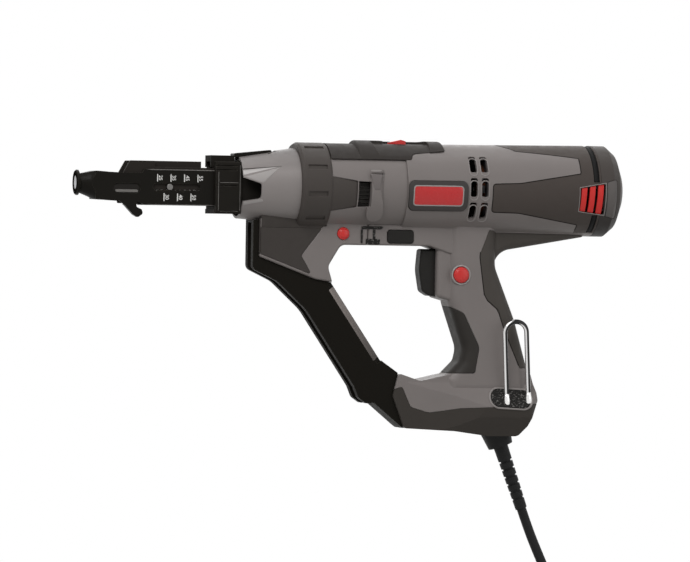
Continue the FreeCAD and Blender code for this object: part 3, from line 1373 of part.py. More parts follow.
def clutch_spindle():
    """The output spindle: a hexagonal bit socket in front, a flange with dogs at the back."""
    socket_end = SPINDLE_FRONT_X + BIT_HOLDER_LENGTH
    socket = rod_x(SPINDLE_FRONT_X, socket_end, BIT_HOLDER_RADIUS)
    rim = [edge for edge in socket.Edges if abs(edge.CenterOfMass.x - SPINDLE_FRONT_X) < TINY]
    socket = socket.makeChamfer(1.0, rim)
    shaft = rod_x(socket_end - 1, FLANGE_X + 1, SPINDLE_RADIUS)
    flange = rod_x(FLANGE_X, FLANGE_X + CLUTCH_FLANGE, DOG_OUTER_RADIUS + 0.6)
    spindle = fused(socket, shaft, flange, *dogs(FLANGE_X + CLUTCH_FLANGE, 0.0))
    return spindle.cut(hexagon(SPINDLE_FRONT_X - 1, SPINDLE_FRONT_X + SOCKET_LENGTH, BIT_ACROSS_FLATS))


def driver_bit():
    """A long hexagonal bit with a cross point."""
    end = SPINDLE_FRONT_X + SOCKET_LENGTH
    shank = hexagon(BIT_TIP_X + BIT_TIP_LENGTH, end, BIT_ACROSS_FLATS)
    tip = turned(
        [
            (BIT_TIP_X, 0), (BIT_TIP_X, 0.8), (BIT_TIP_X + 3.2, 2.7),
            (BIT_TIP_X + BIT_TIP_LENGTH + 1, 2.7), (BIT_TIP_X + BIT_TIP_LENGTH + 1, 0),
        ]
    )
    flutes = []
    for quarter in range(4):
        flute = block(BIT_TIP_X - 1, BIT_TIP_X + 4.5, 0.6, 5.0, 0.6, 5.0)
        flutes.append(turn_about_spindle(flute, 90 * quarter))
    return fused(shank, tip.cut(flutes))


def depth_stop():
    inner = CASE_NOSE_RADIUS + RUNNING_FIT
    front = LEG_X + 1.0
    return tube(front, front + STOP_LENGTH, inner, inner + STOP_WALL)


def depth_wheel():
    """The knurled wheel that screws the depth stop to and fro, with a web and a hub."""
    radius = GEAR_BARREL_RADIUS - WALL - SLIDE_FIT
    end = WHEEL_X + WHEEL_WIDTH
    corners = []
    for step in range(2 * WHEEL_RIDGES):
        angle = step * math.pi / WHEEL_RIDGES
        reach = radius if step % 2 == 0 else radius - WHEEL_RIDGE_HEIGHT
        corners.append((reach * math.cos(angle), reach * math.sin(angle)))
    hub_inner = CASE_NOSE_RADIUS + RUNNING_FIT + STOP_WALL + SLIDE_FIT
    hub_outer = hub_inner + WHEEL_HUB
    web = WHEEL_X + (WHEEL_WIDTH - WHEEL_WEB) / 2
    rim = prism(corners, on_yz, WHEEL_X, end).cut(rod_x(WHEEL_X - 1, end + 1, radius - WHEEL_RIM))
    hub = tube(WHEEL_X, end, hub_inner, hub_outer)
    return fused(rim, hub, tube(web, web + WHEEL_WEB, hub_outer - 1, radius - WHEEL_RIM + 1))


# Motor

PLATE_X = MOTOR_X + MOTOR_PLATE_OFFSET
FRONT_BEARING_X = PLATE_X + BEARING_LIP
REAR_BEARING_X = TAIL_X - REAR_BEARING_OFFSET
FAN_X = MOTOR_X + FAN_OFFSET
STATOR_X = MOTOR_X + STATOR_OFFSET
STATOR_END_X = STATOR_X + STATOR_LENGTH
COMMUTATOR_X = STATOR_END_X + COMMUTATOR_GAP
SHAFT_RADIUS = FRONT_BEARING[1]
POLE_HALF = 9.0


def bearing(x, size):
    """A ball bearing as its two rings and the shields between them."""
    outer, inner, width = size
    bore = inner + RUNNING_FIT
    groove = 0.5
    ring = tube(x, x + width, bore, outer)
    gap_inner = bore + (outer - bore) * 0.35
    gap_outer = bore + (outer - bore) * 0.65
    return ring.cut(
        [
            tube(x - 1, x + groove, gap_inner, gap_outer),
            tube(x + width - groove, x + width + 1, gap_inner, gap_outer),
        ]
    )


def motor_shaft():
    """The motor's shaft, with the sun pinion cut on its front end."""
    front = rod_x(GEARS_END_X + 0.2, REAR_BEARING_X - 1, SHAFT_RADIUS)
    end = rod_x(REAR_BEARING_X - 2, REAR_BEARING_X + REAR_BEARING[2] + 1, REAR_BEARING[1])
    return fused(front, end, sun_pinion())


def cooling_fan():
    """A radial fan: a disc with straight blades and a hub on the shaft."""
    disc = tube(FAN_X, FAN_X + 1.6, SHAFT_RADIUS, FAN_RADIUS)
    hub = tube(FAN_X, FAN_X + FAN_LENGTH, SHAFT_RADIUS, SHAFT_RADIUS + 3.0)
    blade = block(
        FAN_X, FAN_X + FAN_LENGTH, SHAFT_RADIUS + 2.0, FAN_RADIUS - 1.0, -FAN_BLADE / 2, FAN_BLADE / 2,
    )
    blades = [turn_about_spindle(blade, step * 360 / FAN_BLADES) for step in range(FAN_BLADES)]
    return fused(disc, hub, *blades)


def slot_bars(x_low, x_high, inner, outer, width):
    bar = block(x_low, x_high, inner, outer, -width / 2, width / 2)
    return [
        turn_about_spindle(bar, (step + 0.5) * 360 / ARMATURE_SLOTS)
        for step in range(ARMATURE_SLOTS)
    ]


def armature_core():
    core = tube(STATOR_X, STATOR_END_X, SHAFT_RADIUS, ARMATURE_RADIUS)
    return core.cut(
        slot_bars(STATOR_X - 1, STATOR_END_X + 1, ARMATURE_RADIUS - 6.0, ARMATURE_RADIUS + 1, 2.6)
    )


def commutator():
    end = COMMUTATOR_X + COMMUTATOR_LENGTH
    drum = tube(COMMUTATOR_X, end, SHAFT_RADIUS, COMMUTATOR_RADIUS)
    slit = block(COMMUTATOR_X - 1, end + 1, COMMUTATOR_RADIUS - 0.8, COMMUTATOR_RADIUS + 1, -0.3, 0.3)
    return drum.cut(
        [turn_about_spindle(slit, step * 180 / ARMATURE_SLOTS) for step in range(2 * ARMATURE_SLOTS)]
    )


def armature_windings():
    """The copper: bars in the slots, a wound ring at each end of the core, and the commutator."""
    outer = ARMATURE_RADIUS - 1.0
    front = STATOR_X - 4.2
    rear = STATOR_END_X + 5.2
    first = turned(
        [(front, 6.0), (front, outer - 3), (front + 2.0, outer), (STATOR_X, outer), (STATOR_X, 6.0)]
    )
    last = turned([
        (STATOR_END_X, 6.0), (STATOR_END_X, outer), (rear - 2.0, outer), (rear, outer - 3), (rear, 10.5),
        (COMMUTATOR_X + 1, 10.5), (COMMUTATOR_X + 1, 6.0),
    ])
    bars = slot_bars(STATOR_X - 1, STATOR_END_X + 1, ARMATURE_RADIUS - 6.0, outer, 2.6)
    return fused(first, last, commutator(), *bars)


def sector_prism(half_degrees, x_low, x_high):
    half = math.radians(half_degrees)
    far = 2 * STATOR_RADIUS
    corners = [
        (0, 0), (far * math.sin(half), far * math.cos(half)), (0, 2 * far),
        (-far * math.sin(half), far * math.cos(half)),
    ]
    return prism(corners, on_yz, x_low, x_high)


def stator_core():
    """A two pole stator: a yoke with a pole above and below the armature."""
    bore = ARMATURE_RADIUS + AIR_GAP
    yoke_inner = STATOR_RADIUS - STATOR_YOKE
    yoke = tube(STATOR_X, STATOR_END_X, yoke_inner, STATOR_RADIUS)
    shoes = tube(
        STATOR_X, STATOR_END_X, bore, bore + 2.0,
    ).common(sector_prism(60, STATOR_X, STATOR_END_X))
    pole = block(STATOR_X, STATOR_END_X, -POLE_HALF, POLE_HALF, bore - 1, yoke_inner + 1)
    pole = pole.cut(rod_x(STATOR_X - 1, STATOR_END_X + 1, bore))
    upper = shoes.fuse(pole)
    return fused(yoke, upper, turn_about_spindle(upper, 180))


def field_coils():
    """One coil round each pole, in the room between the pole's shoe and the yoke."""
    inner = ARMATURE_RADIUS + AIR_GAP + 2.0 + SEAM
    outer = STATOR_RADIUS - STATOR_YOKE - SEAM
    low = STATOR_X - 4.0
    high = STATOR_END_X + 4.0
    half = POLE_HALF + SEAM
    coil = tube(low, high, inner, outer).common(sector_prism(58, low, high))
    coil = coil.cut(block(STATOR_X - SEAM, STATOR_END_X + SEAM, -half, half, 0, STATOR_RADIUS))
    return [coil, turn_about_spindle(coil, 180)]


BRUSH_X = COMMUTATOR_X + COMMUTATOR_LENGTH / 2


def brush_block(grow, low, high):
    half_x = BRUSH_WIDTH / 2 + grow
    half_z = BRUSH_HEIGHT / 2 + grow
    return block(BRUSH_X - half_x, BRUSH_X + half_x, low, high, -half_z, half_z)


def brush_holders():
    reach = barrel_radius(BRUSH_X) - WALL - 1.0
    holder = brush_block(BRUSH_HOLDER_WALL, COMMUTATOR_RADIUS + 1.2, reach)
    holder = holder.cut(brush_block(0.05, 0, reach - 1.5))
    return [holder, mirrored(holder)]


def carbon_brushes():
    low = COMMUTATOR_RADIUS + 0.3
    brush = brush_block(0, low, low + BRUSH_LENGTH)
    return [brush, mirrored(brush)]


# Controls in the handle and the chin

TRIGGER = at(MOTOR_X, [
    (17.4, TRIGGER_HIGH_Z, 2.0), (16.0, -60.0, 30.0), (18.6, -75.5, 4.0), (24.0, TRIGGER_LOW_Z, 3.0),
    (35.0, TRIGGER_LOW_Z, 1.0), (35.0, TRIGGER_HIGH_Z, 1.0),
])


def trigger():
    return soft_slab(TRIGGER, TRIGGER_HALF, 2.0)


def switch_body():
    front = MOTOR_X + 35.0 + TRIGGER_TRAVEL + SLIDE_FIT
    body = block(front, MOTOR_X + 59.5, -SWITCH_HALF, SWITCH_HALF, -77.0, -47.0)
    x = MOTOR_X + LOCK_BUTTON[0]
    return body.cut(
        rod_y(-SWITCH_HALF - 1, -SWITCH_HALF + 4.5, LOCK_STEM_RADIUS + SLIDE_FIT, x, LOCK_BUTTON[1])
    )


def capped_button(outer, inner, radius, x, z, edge_radius):
    button = rod_y(outer, inner, radius, x, z)
    rim = [
        edge
        for edge in button.Edges if abs(edge.CenterOfMass.y - outer) < TINY and len(edge.Vertexes) == 1
    ]
    return button.makeFillet(edge_radius, rim)


def lock_button():
    x = MOTOR_X + LOCK_BUTTON[0]
    z = LOCK_BUTTON[1]
    inner = -SWITCH_HALF - LOCK_BUTTON_TRAVEL - 0.2
    cap = capped_button(-HANDLE_HALF - LOCK_BUTTON_PROUD, inner, LOCK_BUTTON_RADIUS, x, z, 1.0)
    return fused(cap, rod_y(inner - 1, -SWITCH_HALF + 1.6, LOCK_STEM_RADIUS, x, z))


def release_button():
    x = LEG_X + RELEASE_BUTTON[0]
    return capped_button(
        -LEG_HALF - 1.2, -LEG_HALF + 2 * WALL - 1, RELEASE_BUTTON_RADIUS, x, RELEASE_BUTTON[1], 1.0,
    )


def module_latch():
    """The long push bar on the chin that unlocks the front housing from the motor housing."""
    bar = bar_prism(0, -CHIN_HALF - 1.0, -CHIN_HALF + 2 * WALL - 1)
    front = [edge for edge in bar.Edges if abs(edge.BoundBox.YMax - (-CHIN_HALF - 1.0)) < TINY]
    return bar.makeFillet(0.8, front)


# Cord, plug and tie

LEAD_POINTS = [
    (5.8, 0.0, -16.0), (12.0, -3.5, -32.5), (19.0, -8.0, -50.5), (25.0, -11.4, -68.0),
    (26.35, -12.3, -86.5), (26.35, -12.3, -103.5),
]
TAIL_POINTS = [
    (0.0, 0.0, -12.0), (3.7, 0.0, -26.0), (10.5, 0.0, -39.0), (14.2, 0.0, -53.5), (14.2, 0.0, -66.0),
]


def sleeve_end():
    place, way = cord_exit()
    return place + way * (SLEEVE_LENGTH - 1)


def route(start, offsets):
    return [start] + [start + vec(*offset) for offset in offsets]


def route_edges(points):
    """Straight runs joined by arcs, each as large as its two runs allow; also the radii."""
    edges = []
    radii = []
    last = points[0]
    for before, corner, after in zip(points, points[1:], points[2:]):
        back = before - corner
        ahead = after - corner
        reach = 0.45 * min(back.Length, ahead.Length)
        back.normalize()
        ahead.normalize()
        half_turn = (math.pi - back.getAngle(ahead)) / 2
        radius = reach / math.tan(half_turn)
        begin = corner + back * reach
        end = corner + ahead * reach
        inward = (back + ahead).normalize()
        middle = corner + inward * (radius / math.cos(half_turn) - radius)
        edges.append(Part.makeLine(last, begin))
        edges.append(Part.Arc(begin, middle, end).toShape())
        radii.append(radius)
        last = end
    edges.append(Part.makeLine(last, points[-1]))
    return edges, radii


COIL_OUTER_RADIUS = COIL_INNER_RADIUS + COIL_PITCH * COIL_LAYER_TURNS
COIL_TURNS = COIL_LAYERS * COIL_LAYER_TURNS + (COIL_LAYERS - 1) * 0.5


def coil_place(turns):
    """Radius and height in the stack after so many turns: in, out, in and out again, a layer at a time."""
    span = COIL_LAYER_TURNS + 0.5
    layer = min(int(turns / span), COIL_LAYERS - 1)
    done = turns - layer * span
    inward = layer % 2 == 0
    share = min(done / COIL_LAYER_TURNS, 1.0)
    start, end = (
        COIL_OUTER_RADIUS, COIL_INNER_RADIUS,
    ) if inward else (COIL_INNER_RADIUS, COIL_OUTER_RADIUS)
    climb = max(0.0, min((done - COIL_LAYER_TURNS) / 0.5, 1.0))
    rise = (1 - math.cos(math.pi * climb)) / 2
    return start + (end - start) * share, (layer + rise - (COIL_LAYERS - 1) / 2) * COIL_LAYER


def coil_centre():
    start = sleeve_end() + vec(*LEAD_POINTS[-1])
    return start + vec(-COIL_OUTER_RADIUS, (COIL_LAYERS - 1) / 2 * COIL_LAYER, -CORD_DIAMETER)


def coil_point(turns):
    radius, height = coil_place(turns)
    angle = -2 * math.pi * turns
    return coil_centre() + vec(radius * math.cos(angle), height, radius * math.sin(angle))


def coil_edges():
    """The coil as one path of quarter turns, with a straight end at each side."""
    down = vec(0, 0, -1)
    quarters = int(4 * COIL_TURNS)
    points = [coil_point(step / 4) for step in range(quarters + 1)]
    headings = [down]
    for step in range(1, quarters):
        headings.append((coil_point(step / 4 + 0.02) - coil_point(step / 4 - 0.02)).normalize())
    headings.append(down)
    edges = [Part.makeLine(points[0] - down * CORD_DIAMETER, points[0])]
    for step in range(quarters):
        edges += biarc(points[step], headings[step], points[step + 1], headings[step + 1])
    edges.append(Part.makeLine(points[-1], points[-1] + down * CORD_DIAMETER))
    return edges


def least_gap(edges, diameter):
    """The least gap between stretches of a tube that aren't next to each other along it."""
    spacing = 2.0
    points = []
    for edge in edges:
        points += edge.discretize(max(2, int(edge.Length / spacing) + 1))[:-1]
    skip = int(3 * diameter / spacing)
    least = min(
        points[first].distanceToPoint(points[second])
        for first in range(len(points)) for second in range(first + skip, len(points))
    )
    return least - diameter


def cord_pieces():
    """The lead down from the boot, the tied coil, the short tail and the plug on its end."""
    radius = CORD_DIAMETER / 2
    lead, lead_radii = route_edges(route(sleeve_end(), LEAD_POINTS))
    coil = coil_edges()
    tail_points = route(coil[-1].Vertexes[-1].Point, TAIL_POINTS)
    tail, tail_radii = route_edges(tail_points)
    length = sum(edge.Length for edge in lead + coil + tail)
    print("cord bend radii", [round(value) for value in lead_radii + tail_radii])
    print(
        "cord length", round(length), "coil turns", COIL_TURNS, "least gap",
        round(least_gap(coil, CORD_DIAMETER), 2),
    )
    shapes = {
        "cord_lead": swept(lead, radius), "cord_coil": swept(coil, radius),
        "cord_tail": swept(tail, radius),
    }
    for name, edges in (("cord_lead", lead), ("cord_coil", coil), ("cord_tail", tail)):
        expected = math.pi * radius ** 2 * sum(edge.Length for edge in edges)
        print(name, "volume over section times length", round(shapes[name].Volume / expected, 4))
    shapes["cord_tie"] = cord_tie()
    shapes["plug_body"] = plug_body(tail_points[-1])
    shapes["plug_pins"] = Part.makeCompound(plug_pins(tail_points[-1]))
    return shapes


def cord_tie():
    """A hook and loop strap round all the turns at the top of the coil."""
    centre = coil_centre()
    half_y = (COIL_LAYERS - 1) / 2 * COIL_LAYER + CORD_DIAMETER / 2 + 0.35
    low = centre.z + COIL_INNER_RADIUS - CORD_DIAMETER / 2 - 0.9
    high = centre.z + COIL_OUTER_RADIUS + CORD_DIAMETER / 2 + 0.35
    corners = [(-half_y, low, 3.0), (half_y, low, 3.0), (half_y, high, 3.0), (-half_y, high, 3.0)]
    front = centre.x - TIE_WIDTH / 2
    back = centre.x + TIE_WIDTH / 2
    strap = prism(corners, on_yz, front, back, -TIE_THICKNESS)
    strap = strap.cut(prism(corners, on_yz, front - 1, back + 1))
    strap.translate(vec(0, centre.y, 0))
    return strap


def plug_body(top):
    """A moulded two pin plug: a tapered neck, a waisted grip and a flat round-cornered face."""
    neck_length = PLUG_LENGTH * 0.45
    neck = Part.makeCone(
        CORD_DIAMETER / 2 + 1.2, PLUG_HALF_DEPTH - 2.0, neck_length, vec(0, 0, 0), vec(0, 0, -1),
    )
    wide = PLUG_HALF_WIDTH
    deep = PLUG_HALF_DEPTH
    corners = [
        (-deep, -wide, deep - 1), (deep, -wide, deep - 1), (deep, wide, deep - 1),
        (-deep, wide, deep - 1),
    ]
    grip = prism(corners, on_xy, -PLUG_LENGTH, -neck_length + 2.0)
    rims = [edge for edge in grip.Edges if edge.BoundBox.ZLength < TINY]
    grip = grip.makeFillet(2.5, rims)
    plug = fused(grip, neck)
    plug.translate(top)
    return plug


def plug_pins(top):
    pins = []
    for side in (-1, 1):
        place = top + vec(0, side * PLUG_PIN_SPACING / 2, -PLUG_LENGTH)
        pin = Part.makeCylinder(PLUG_PIN_RADIUS, PLUG_PIN_LENGTH, place, vec(0, 0, -1))
        tip = [
            edge
            for edge in pin.Edges if abs(edge.CenterOfMass.z - (place.z - PLUG_PIN_LENGTH)) < TINY
        ]
        pins.append(pin.makeFillet(1.2, tip))
    return pins


def all_pieces():
    pieces = {}
    pieces.update(motor_housing())
    pieces.update(front_housing())
    grille = vent_grille()
    planets = planet_gears()
    pieces.update({
        "feed_rail": feed_rail(),
        "collar_ring": collar_ring(),
        "nose_cone": nose_cone(),
        "nose_latch": nose_latch(),
        "guide_block": guide_block(),
        "nosepiece": nosepiece(),
        "feed_slide": feed_slide(),
        "setting_button": setting_button(),
        "feed_sprocket": feed_sprocket(),
        "return_spring": spring(
            SLIDE_REAR_X, CASE_NOSE_X, RETURN_SPRING_RADIUS, RETURN_SPRING_WIRE, RETURN_SPRING_TURNS,
        ),
        "top_cover": top_cover(),
        "direction_slider": direction_slider(),
        "rear_cap": rear_cap(),
        "cap_inserts": cap_inserts(),
        "vent_grilles": Part.makeCompound([grille, mirrored(grille)]),
        "badge": badge(),
        "gear_case": gear_case(),
        "spindle_bush": tube(CASE_NOSE_X, CASE_X + CASE_PLATE, BUSH_INNER, BUSH_OUTER),
        "ring_gear": ring_gear(),
        "planet_gear_1": planets[0],
        "planet_gear_2": planets[1],
        "planet_gear_3": planets[2],
        "planet_carrier": planet_carrier(),
        "clutch_spindle": clutch_spindle(),
        "clutch_spring": spring(
            FLANGE_X + CLUTCH_FLANGE, CARRIER_X, CLUTCH_SPRING_RADIUS, CLUTCH_SPRING_WIRE,
            CLUTCH_SPRING_TURNS,
        ),
        "driver_bit": driver_bit(),
        "depth_stop": depth_stop(),
        "depth_wheel": depth_wheel(),
        "motor_bearings": Part.makeCompound(
            [bearing(FRONT_BEARING_X, FRONT_BEARING), bearing(REAR_BEARING_X, REAR_BEARING)]
        ),
        "motor_shaft": motor_shaft(),
        "cooling_fan": cooling_fan(),
        "armature_core": armature_core(),
        "armature_windings": armature_windings(),
        "stator_core": stator_core(),
        "field_coils": Part.makeCompound(field_coils()),
        "brush_holders": Part.makeCompound(brush_holders()),
        "carbon_brushes": Part.makeCompound(carbon_brushes()),
        "trigger": trigger(),
        "switch_body": switch_body(),
        "lock_button": lock_button(),
        "release_button": release_button(),
        "module_latch": module_latch(),
        "belt_hook": belt_hook(),
        "cord_guard": fused(boot_form(), sleeve_form()),
        "housing_screws": Part.makeCompound(screws(MOTOR_SCREWS + LEG_SCREWS)),
    })
    pieces.update(cord_pieces())
    return pieces


def main():
    os.makedirs("parts", exist_ok=True)
    origin = vec(MOTOR_X + GRIP_MIDDLE[0], 0, GRIP_MIDDLE[1])
    for name, shape in all_pieces().items():
        placed = shape.copy()
        placed.translate(origin * -1)
        placed.exportStep("parts/" + name + ".step")


main()
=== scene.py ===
"""Dress a corded drywall screwdriver: finishes, printed marks, small trim, cord, light and camera."""
import logging
import math
from abc import ABC, abstractmethod
from collections.abc import Callable, Iterator
from dataclasses import dataclass, field, replace
from enum import Enum
from functools import partial
from typing import ClassVar

import bmesh
import bpy
import numpy as np
from mathutils import Matrix, Vector

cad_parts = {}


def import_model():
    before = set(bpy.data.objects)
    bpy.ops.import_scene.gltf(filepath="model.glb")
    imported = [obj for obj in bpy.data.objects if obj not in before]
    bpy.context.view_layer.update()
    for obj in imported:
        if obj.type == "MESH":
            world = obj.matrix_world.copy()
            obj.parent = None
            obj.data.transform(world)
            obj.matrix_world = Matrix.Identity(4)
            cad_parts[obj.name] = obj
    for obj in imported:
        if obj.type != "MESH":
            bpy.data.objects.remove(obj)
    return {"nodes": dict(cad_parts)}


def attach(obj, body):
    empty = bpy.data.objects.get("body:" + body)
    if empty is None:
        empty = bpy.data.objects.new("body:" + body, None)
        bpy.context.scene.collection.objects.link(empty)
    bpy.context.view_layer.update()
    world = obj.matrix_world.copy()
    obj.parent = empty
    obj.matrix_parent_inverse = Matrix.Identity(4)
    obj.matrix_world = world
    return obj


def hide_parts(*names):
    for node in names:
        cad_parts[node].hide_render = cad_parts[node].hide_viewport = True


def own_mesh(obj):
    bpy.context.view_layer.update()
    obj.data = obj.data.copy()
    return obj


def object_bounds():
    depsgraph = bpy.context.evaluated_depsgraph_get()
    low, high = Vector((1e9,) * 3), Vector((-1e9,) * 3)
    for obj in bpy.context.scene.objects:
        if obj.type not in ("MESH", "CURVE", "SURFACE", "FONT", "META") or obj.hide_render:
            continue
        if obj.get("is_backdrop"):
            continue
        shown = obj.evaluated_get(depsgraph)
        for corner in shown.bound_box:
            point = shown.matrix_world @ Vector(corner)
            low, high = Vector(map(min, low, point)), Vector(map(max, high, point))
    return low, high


Array = np.ndarray
Flat = tuple[float, float]
Triple = tuple[float, float, float]
Box = tuple[float, float, float, float]
Outline = tuple[Flat, ...]
Piece = bpy.types.Object
Socket = bpy.types.NodeSocket
Feeds = dict[str | int, object]
Surface = Callable[[Array], Array]

LOG = logging.getLogger("screwdriver")
MM = 0.001
# The drawing is in millimetres from the nose tip on the spindle line.
# The row frame's zero is the grip's middle.
GRIP_X = 307.0
GRIP_Z = -99.0
HANDLE_SIDE = -17.0
HANDLE_LEAN = 0.45
HOUSING = "housing"
NOSE = "nose"
# How far a rim runs under the plate that it goes round.
LAP = 0.1
WHITE = (1.0, 1.0, 1.0, 1.0)
# Painted shade: the black put inside the vents' recess.
PAINTED_SHADE_BLACK: Triple = (0.004, 0.004, 0.004)
SPECK: Triple = (0.22, 0.21, 0.20)
WEAVE_SCALE = 520.0
# Points round an outline, steps of a turned ring, points round a sleeve, and rings of a plate's face.
OUTLINE_ANGLES = 96
TURN_STEPS = 97
SLEEVE_POINTS = 32
PLATE_RINGS = 12
INNER_SHARE = 0.03
LEAST_CORNER = 0.3
SMALL_CORNER = 0.5
SMALL_POINTS = 24
WELD = 1e-7
# What the finishes read and give: the bend of edges that are lightened, partly as worn and partly as painted
# edge highlight, ranges of noise, and shares of the colour.
RUB_AND_GLINT_BEND: Flat = (0.985, 0.85)
RUB_AND_GLINT_NOISE: Flat = (0.35, 0.65)
RUB_AND_GLINT_SHARE: Flat = (0.25, 1.0)
GLOSS_NOISE_RANGE: Flat = (0.3, 0.7)
SPECK_RANGE: Flat = (0.58, 0.66)
# Band across which the painted light on the grip's rear begins.
HANDLE_BAND: Flat = (-0.004, 0.004)
# Where a dark painted reflection lies on a wire, by its face's turn, and its tone.
PAINTED_REFLECTION_FRONT: Flat = (-0.3, -0.1)
PAINTED_REFLECTION_REAR: Flat = (0.7, 0.9)
PAINTED_REFLECTION_TONE = 0.04
# Tone of the painted shade that darkens a finish between two heights.
PAINTED_SHADE_TONE = 0.2
# Blur at the edge of the painted black shade.
PAINTED_SHADE_BLUR = 0.0004
METAL_FROM = 0.5
METAL_RUB_AND_GLINT = 1.15
METAL_SPREAD = 0.03
PLASTIC_SPREAD = 0.06
EDGE_SAMPLES = 4
BUMP_STRENGTH = 0.7
COAT_ROUGHNESS = 0.12


@dataclass(frozen=True)
class Noise:
    """A noise texture: its cells per metre, its octaves, and its scale along each axis."""

    scale: float
    detail: float
    stretch: Triple = (1.0, 1.0, 1.0)


EDGE_NOISE = Noise(140.0, 4.0)
MOTTLE_NOISE = Noise(38.0, 5.0)
GLOSS_NOISE = Noise(210.0, 4.0)
SPECK_NOISE = Noise(900.0, 3.0)


class Grain(Enum):
    """A finish's texture: its noise, and its depth in metres. A weave has bands in place of noise."""

    MOULDED = (Noise(3400.0, 3.0), 0.000028)
    SOFT = (Noise(2600.0, 2.0), 0.00005)
    BRUSHED = (Noise(900.0, 3.0, (0.06, 1.0, 1.0)), 0.00001)
    CAST = (Noise(1500.0, 4.0), 0.00012)
    WOVEN = (None, 0.0002)
    PLAIN = (Noise(400.0, 2.0), 0.000004)


class Axis(Enum):
    """The line that a turned piece goes round."""

    ALONG = "along"
    ACROSS = "across"


def row(points: Array) -> Array:
    """Move points from the drawing's millimetres to the row frame's metres."""
    return (np.asarray(points, dtype=float) - np.array([GRIP_X, 0.0, GRIP_Z])) * MM


def new_object(name: str, data: bpy.types.ID) -> Piece:
    """Put a mesh, curve, lamp or camera into the scene as a new object at the origin.

    Args:
        name: The object's name.
        data: The mesh, curve, lamp or camera.

    Returns:
        The new object.
    """
    made = bpy.data.objects.new(name, data)
    bpy.context.scene.collection.objects.link(made)
    return made


class NodeTree:
    """The nodes of a material or a world, with short calls to add nodes and join them."""

    def __init__(self, owner: bpy.types.Material | bpy.types.World) -> None:
        """Start with the owner's own nodes and, in a material, its main shader.

        Args:
            owner: The material or world.
        """
        owner.use_nodes = True
        self.tree = owner.node_tree
        self.shader = self.tree.nodes.get("Principled BSDF")

    def feed(self, node: bpy.types.Node, feeds: Feeds) -> None:
        """Set a node's inputs, by name or number: each to a constant, or linked to a socket.

        Args:
            node: The node.
            feeds: Constants and sockets for its inputs.
        """
        for key, value in feeds.items():
            if isinstance(value, Socket):
                self.tree.links.new(value, node.inputs[key])
            else:
                node.inputs[key].default_value = value

    def node(self, kind: str, feeds: Feeds | None = None, **settings: object) -> bpy.types.Node:
        """Add a node, set its properties and feed its inputs.

        Args:
            kind: The node's type name.
            feeds: Constants and sockets for its inputs.
            settings: Property names and values.

        Returns:
            The new node.
        """
        node = self.tree.nodes.new(kind)
        for key, value in settings.items():
            setattr(node, key, value)
        self.feed(node, feeds or {})
        return node

    def place(self) -> Socket:
        """The place on the piece in its own coordinates, which are the row frame's."""
        return self.node("ShaderNodeTexCoord").outputs["Object"]

    def noise(self, kind: Noise) -> Socket:
        """A noise's value on the piece's own coordinates.

        Args:
            kind: The noise.

        Returns:
            The value's socket.
        """
        stretched = {"Vector": self.place(), "Scale": kind.stretch}
        moved = self.node("ShaderNodeMapping", stretched).outputs["Vector"]
        feeds = {"Vector": moved, "Scale": kind.scale, "Detail": kind.detail}
        return self.node("ShaderNodeTexNoise", feeds).outputs["Fac"]

    def weave(self) -> Socket:
        """Crossed bands, as in a woven strap.

        Returns:
            The socket of the bands' product.
        """
        feeds = {"Vector": self.place(), "Scale": WEAVE_SCALE}
        bands = [self.node("ShaderNodeTexWave", feeds, bands_direction=way) for way in ("Y", "X")]
        return self.times(bands[0].outputs["Fac"], bands[1].outputs["Fac"])

    def ranged(self, source: Socket, read: Flat, given: Flat) -> Socket:
        """Map a value from one range to another, clamped.

        Args:
            source: The value's socket.
            read: The two ends of the range read.
            given: The values given at those ends.

        Returns:
            The mapped value's socket.
        """
        names = ("From Min", "From Max", "To Min", "To Max")
        feeds = {"Value": source, **dict(zip(names, (*read, *given)))}
        return self.node("ShaderNodeMapRange", feeds, clamp=True).outputs["Result"]

    def blend(self, factor: Socket, first: Triple | Socket, second: Triple) -> Socket:
        """Mix two colours.

        Args:
            factor: The factor's socket.
            first: Colour at factor 0, as numbers or as a socket.
            second: Colour at factor 1.

        Returns:
            The mixed colour's socket.
        """
        start = (*first, 1.0) if isinstance(first, tuple) else first
        feeds = {"Factor": factor, 6: start, 7: (*second, 1.0)}
        return self.node("ShaderNodeMix", feeds, data_type="RGBA").outputs[2]

    def times(self, first: Socket, second: Socket | float) -> Socket:
        """The product of two values."""
        return self.node("ShaderNodeMath", {0: first, 1: second}, operation="MULTIPLY").outputs[0]

    def dot(self, first: Socket, second: Socket | Triple) -> Socket:
        """The dot product of two vectors."""
        feeds = {0: first, 1: second}
        return self.node("ShaderNodeVectorMath", feeds, operation="DOT_PRODUCT").outputs["Value"]

    def part(self, vector: Socket, axis: str) -> Socket:
        """One axis of a vector."""
        return self.node("ShaderNodeSeparateXYZ", {0: vector}).outputs[axis]

    def from_spindle(self) -> Socket:
        """Distance from the spindle line, in metres.

        Returns:
            The distance's socket.
        """
        feeds = {"Vector": self.place(), "Location": (0.0, 0.0, GRIP_Z * MM), "Scale": (0.0, 1.0, 1.0)}
        moved = self.node("ShaderNodeMapping", feeds).outputs["Vector"]
        return self.node("ShaderNodeVectorMath", {0: moved}, operation="LENGTH").outputs["Value"]

    def across_handle(self) -> Socket:
        """Distance behind the handle's leaning middle line, in metres."""
        return self.dot(self.place(), (1.0, 0.0, HANDLE_LEAN))


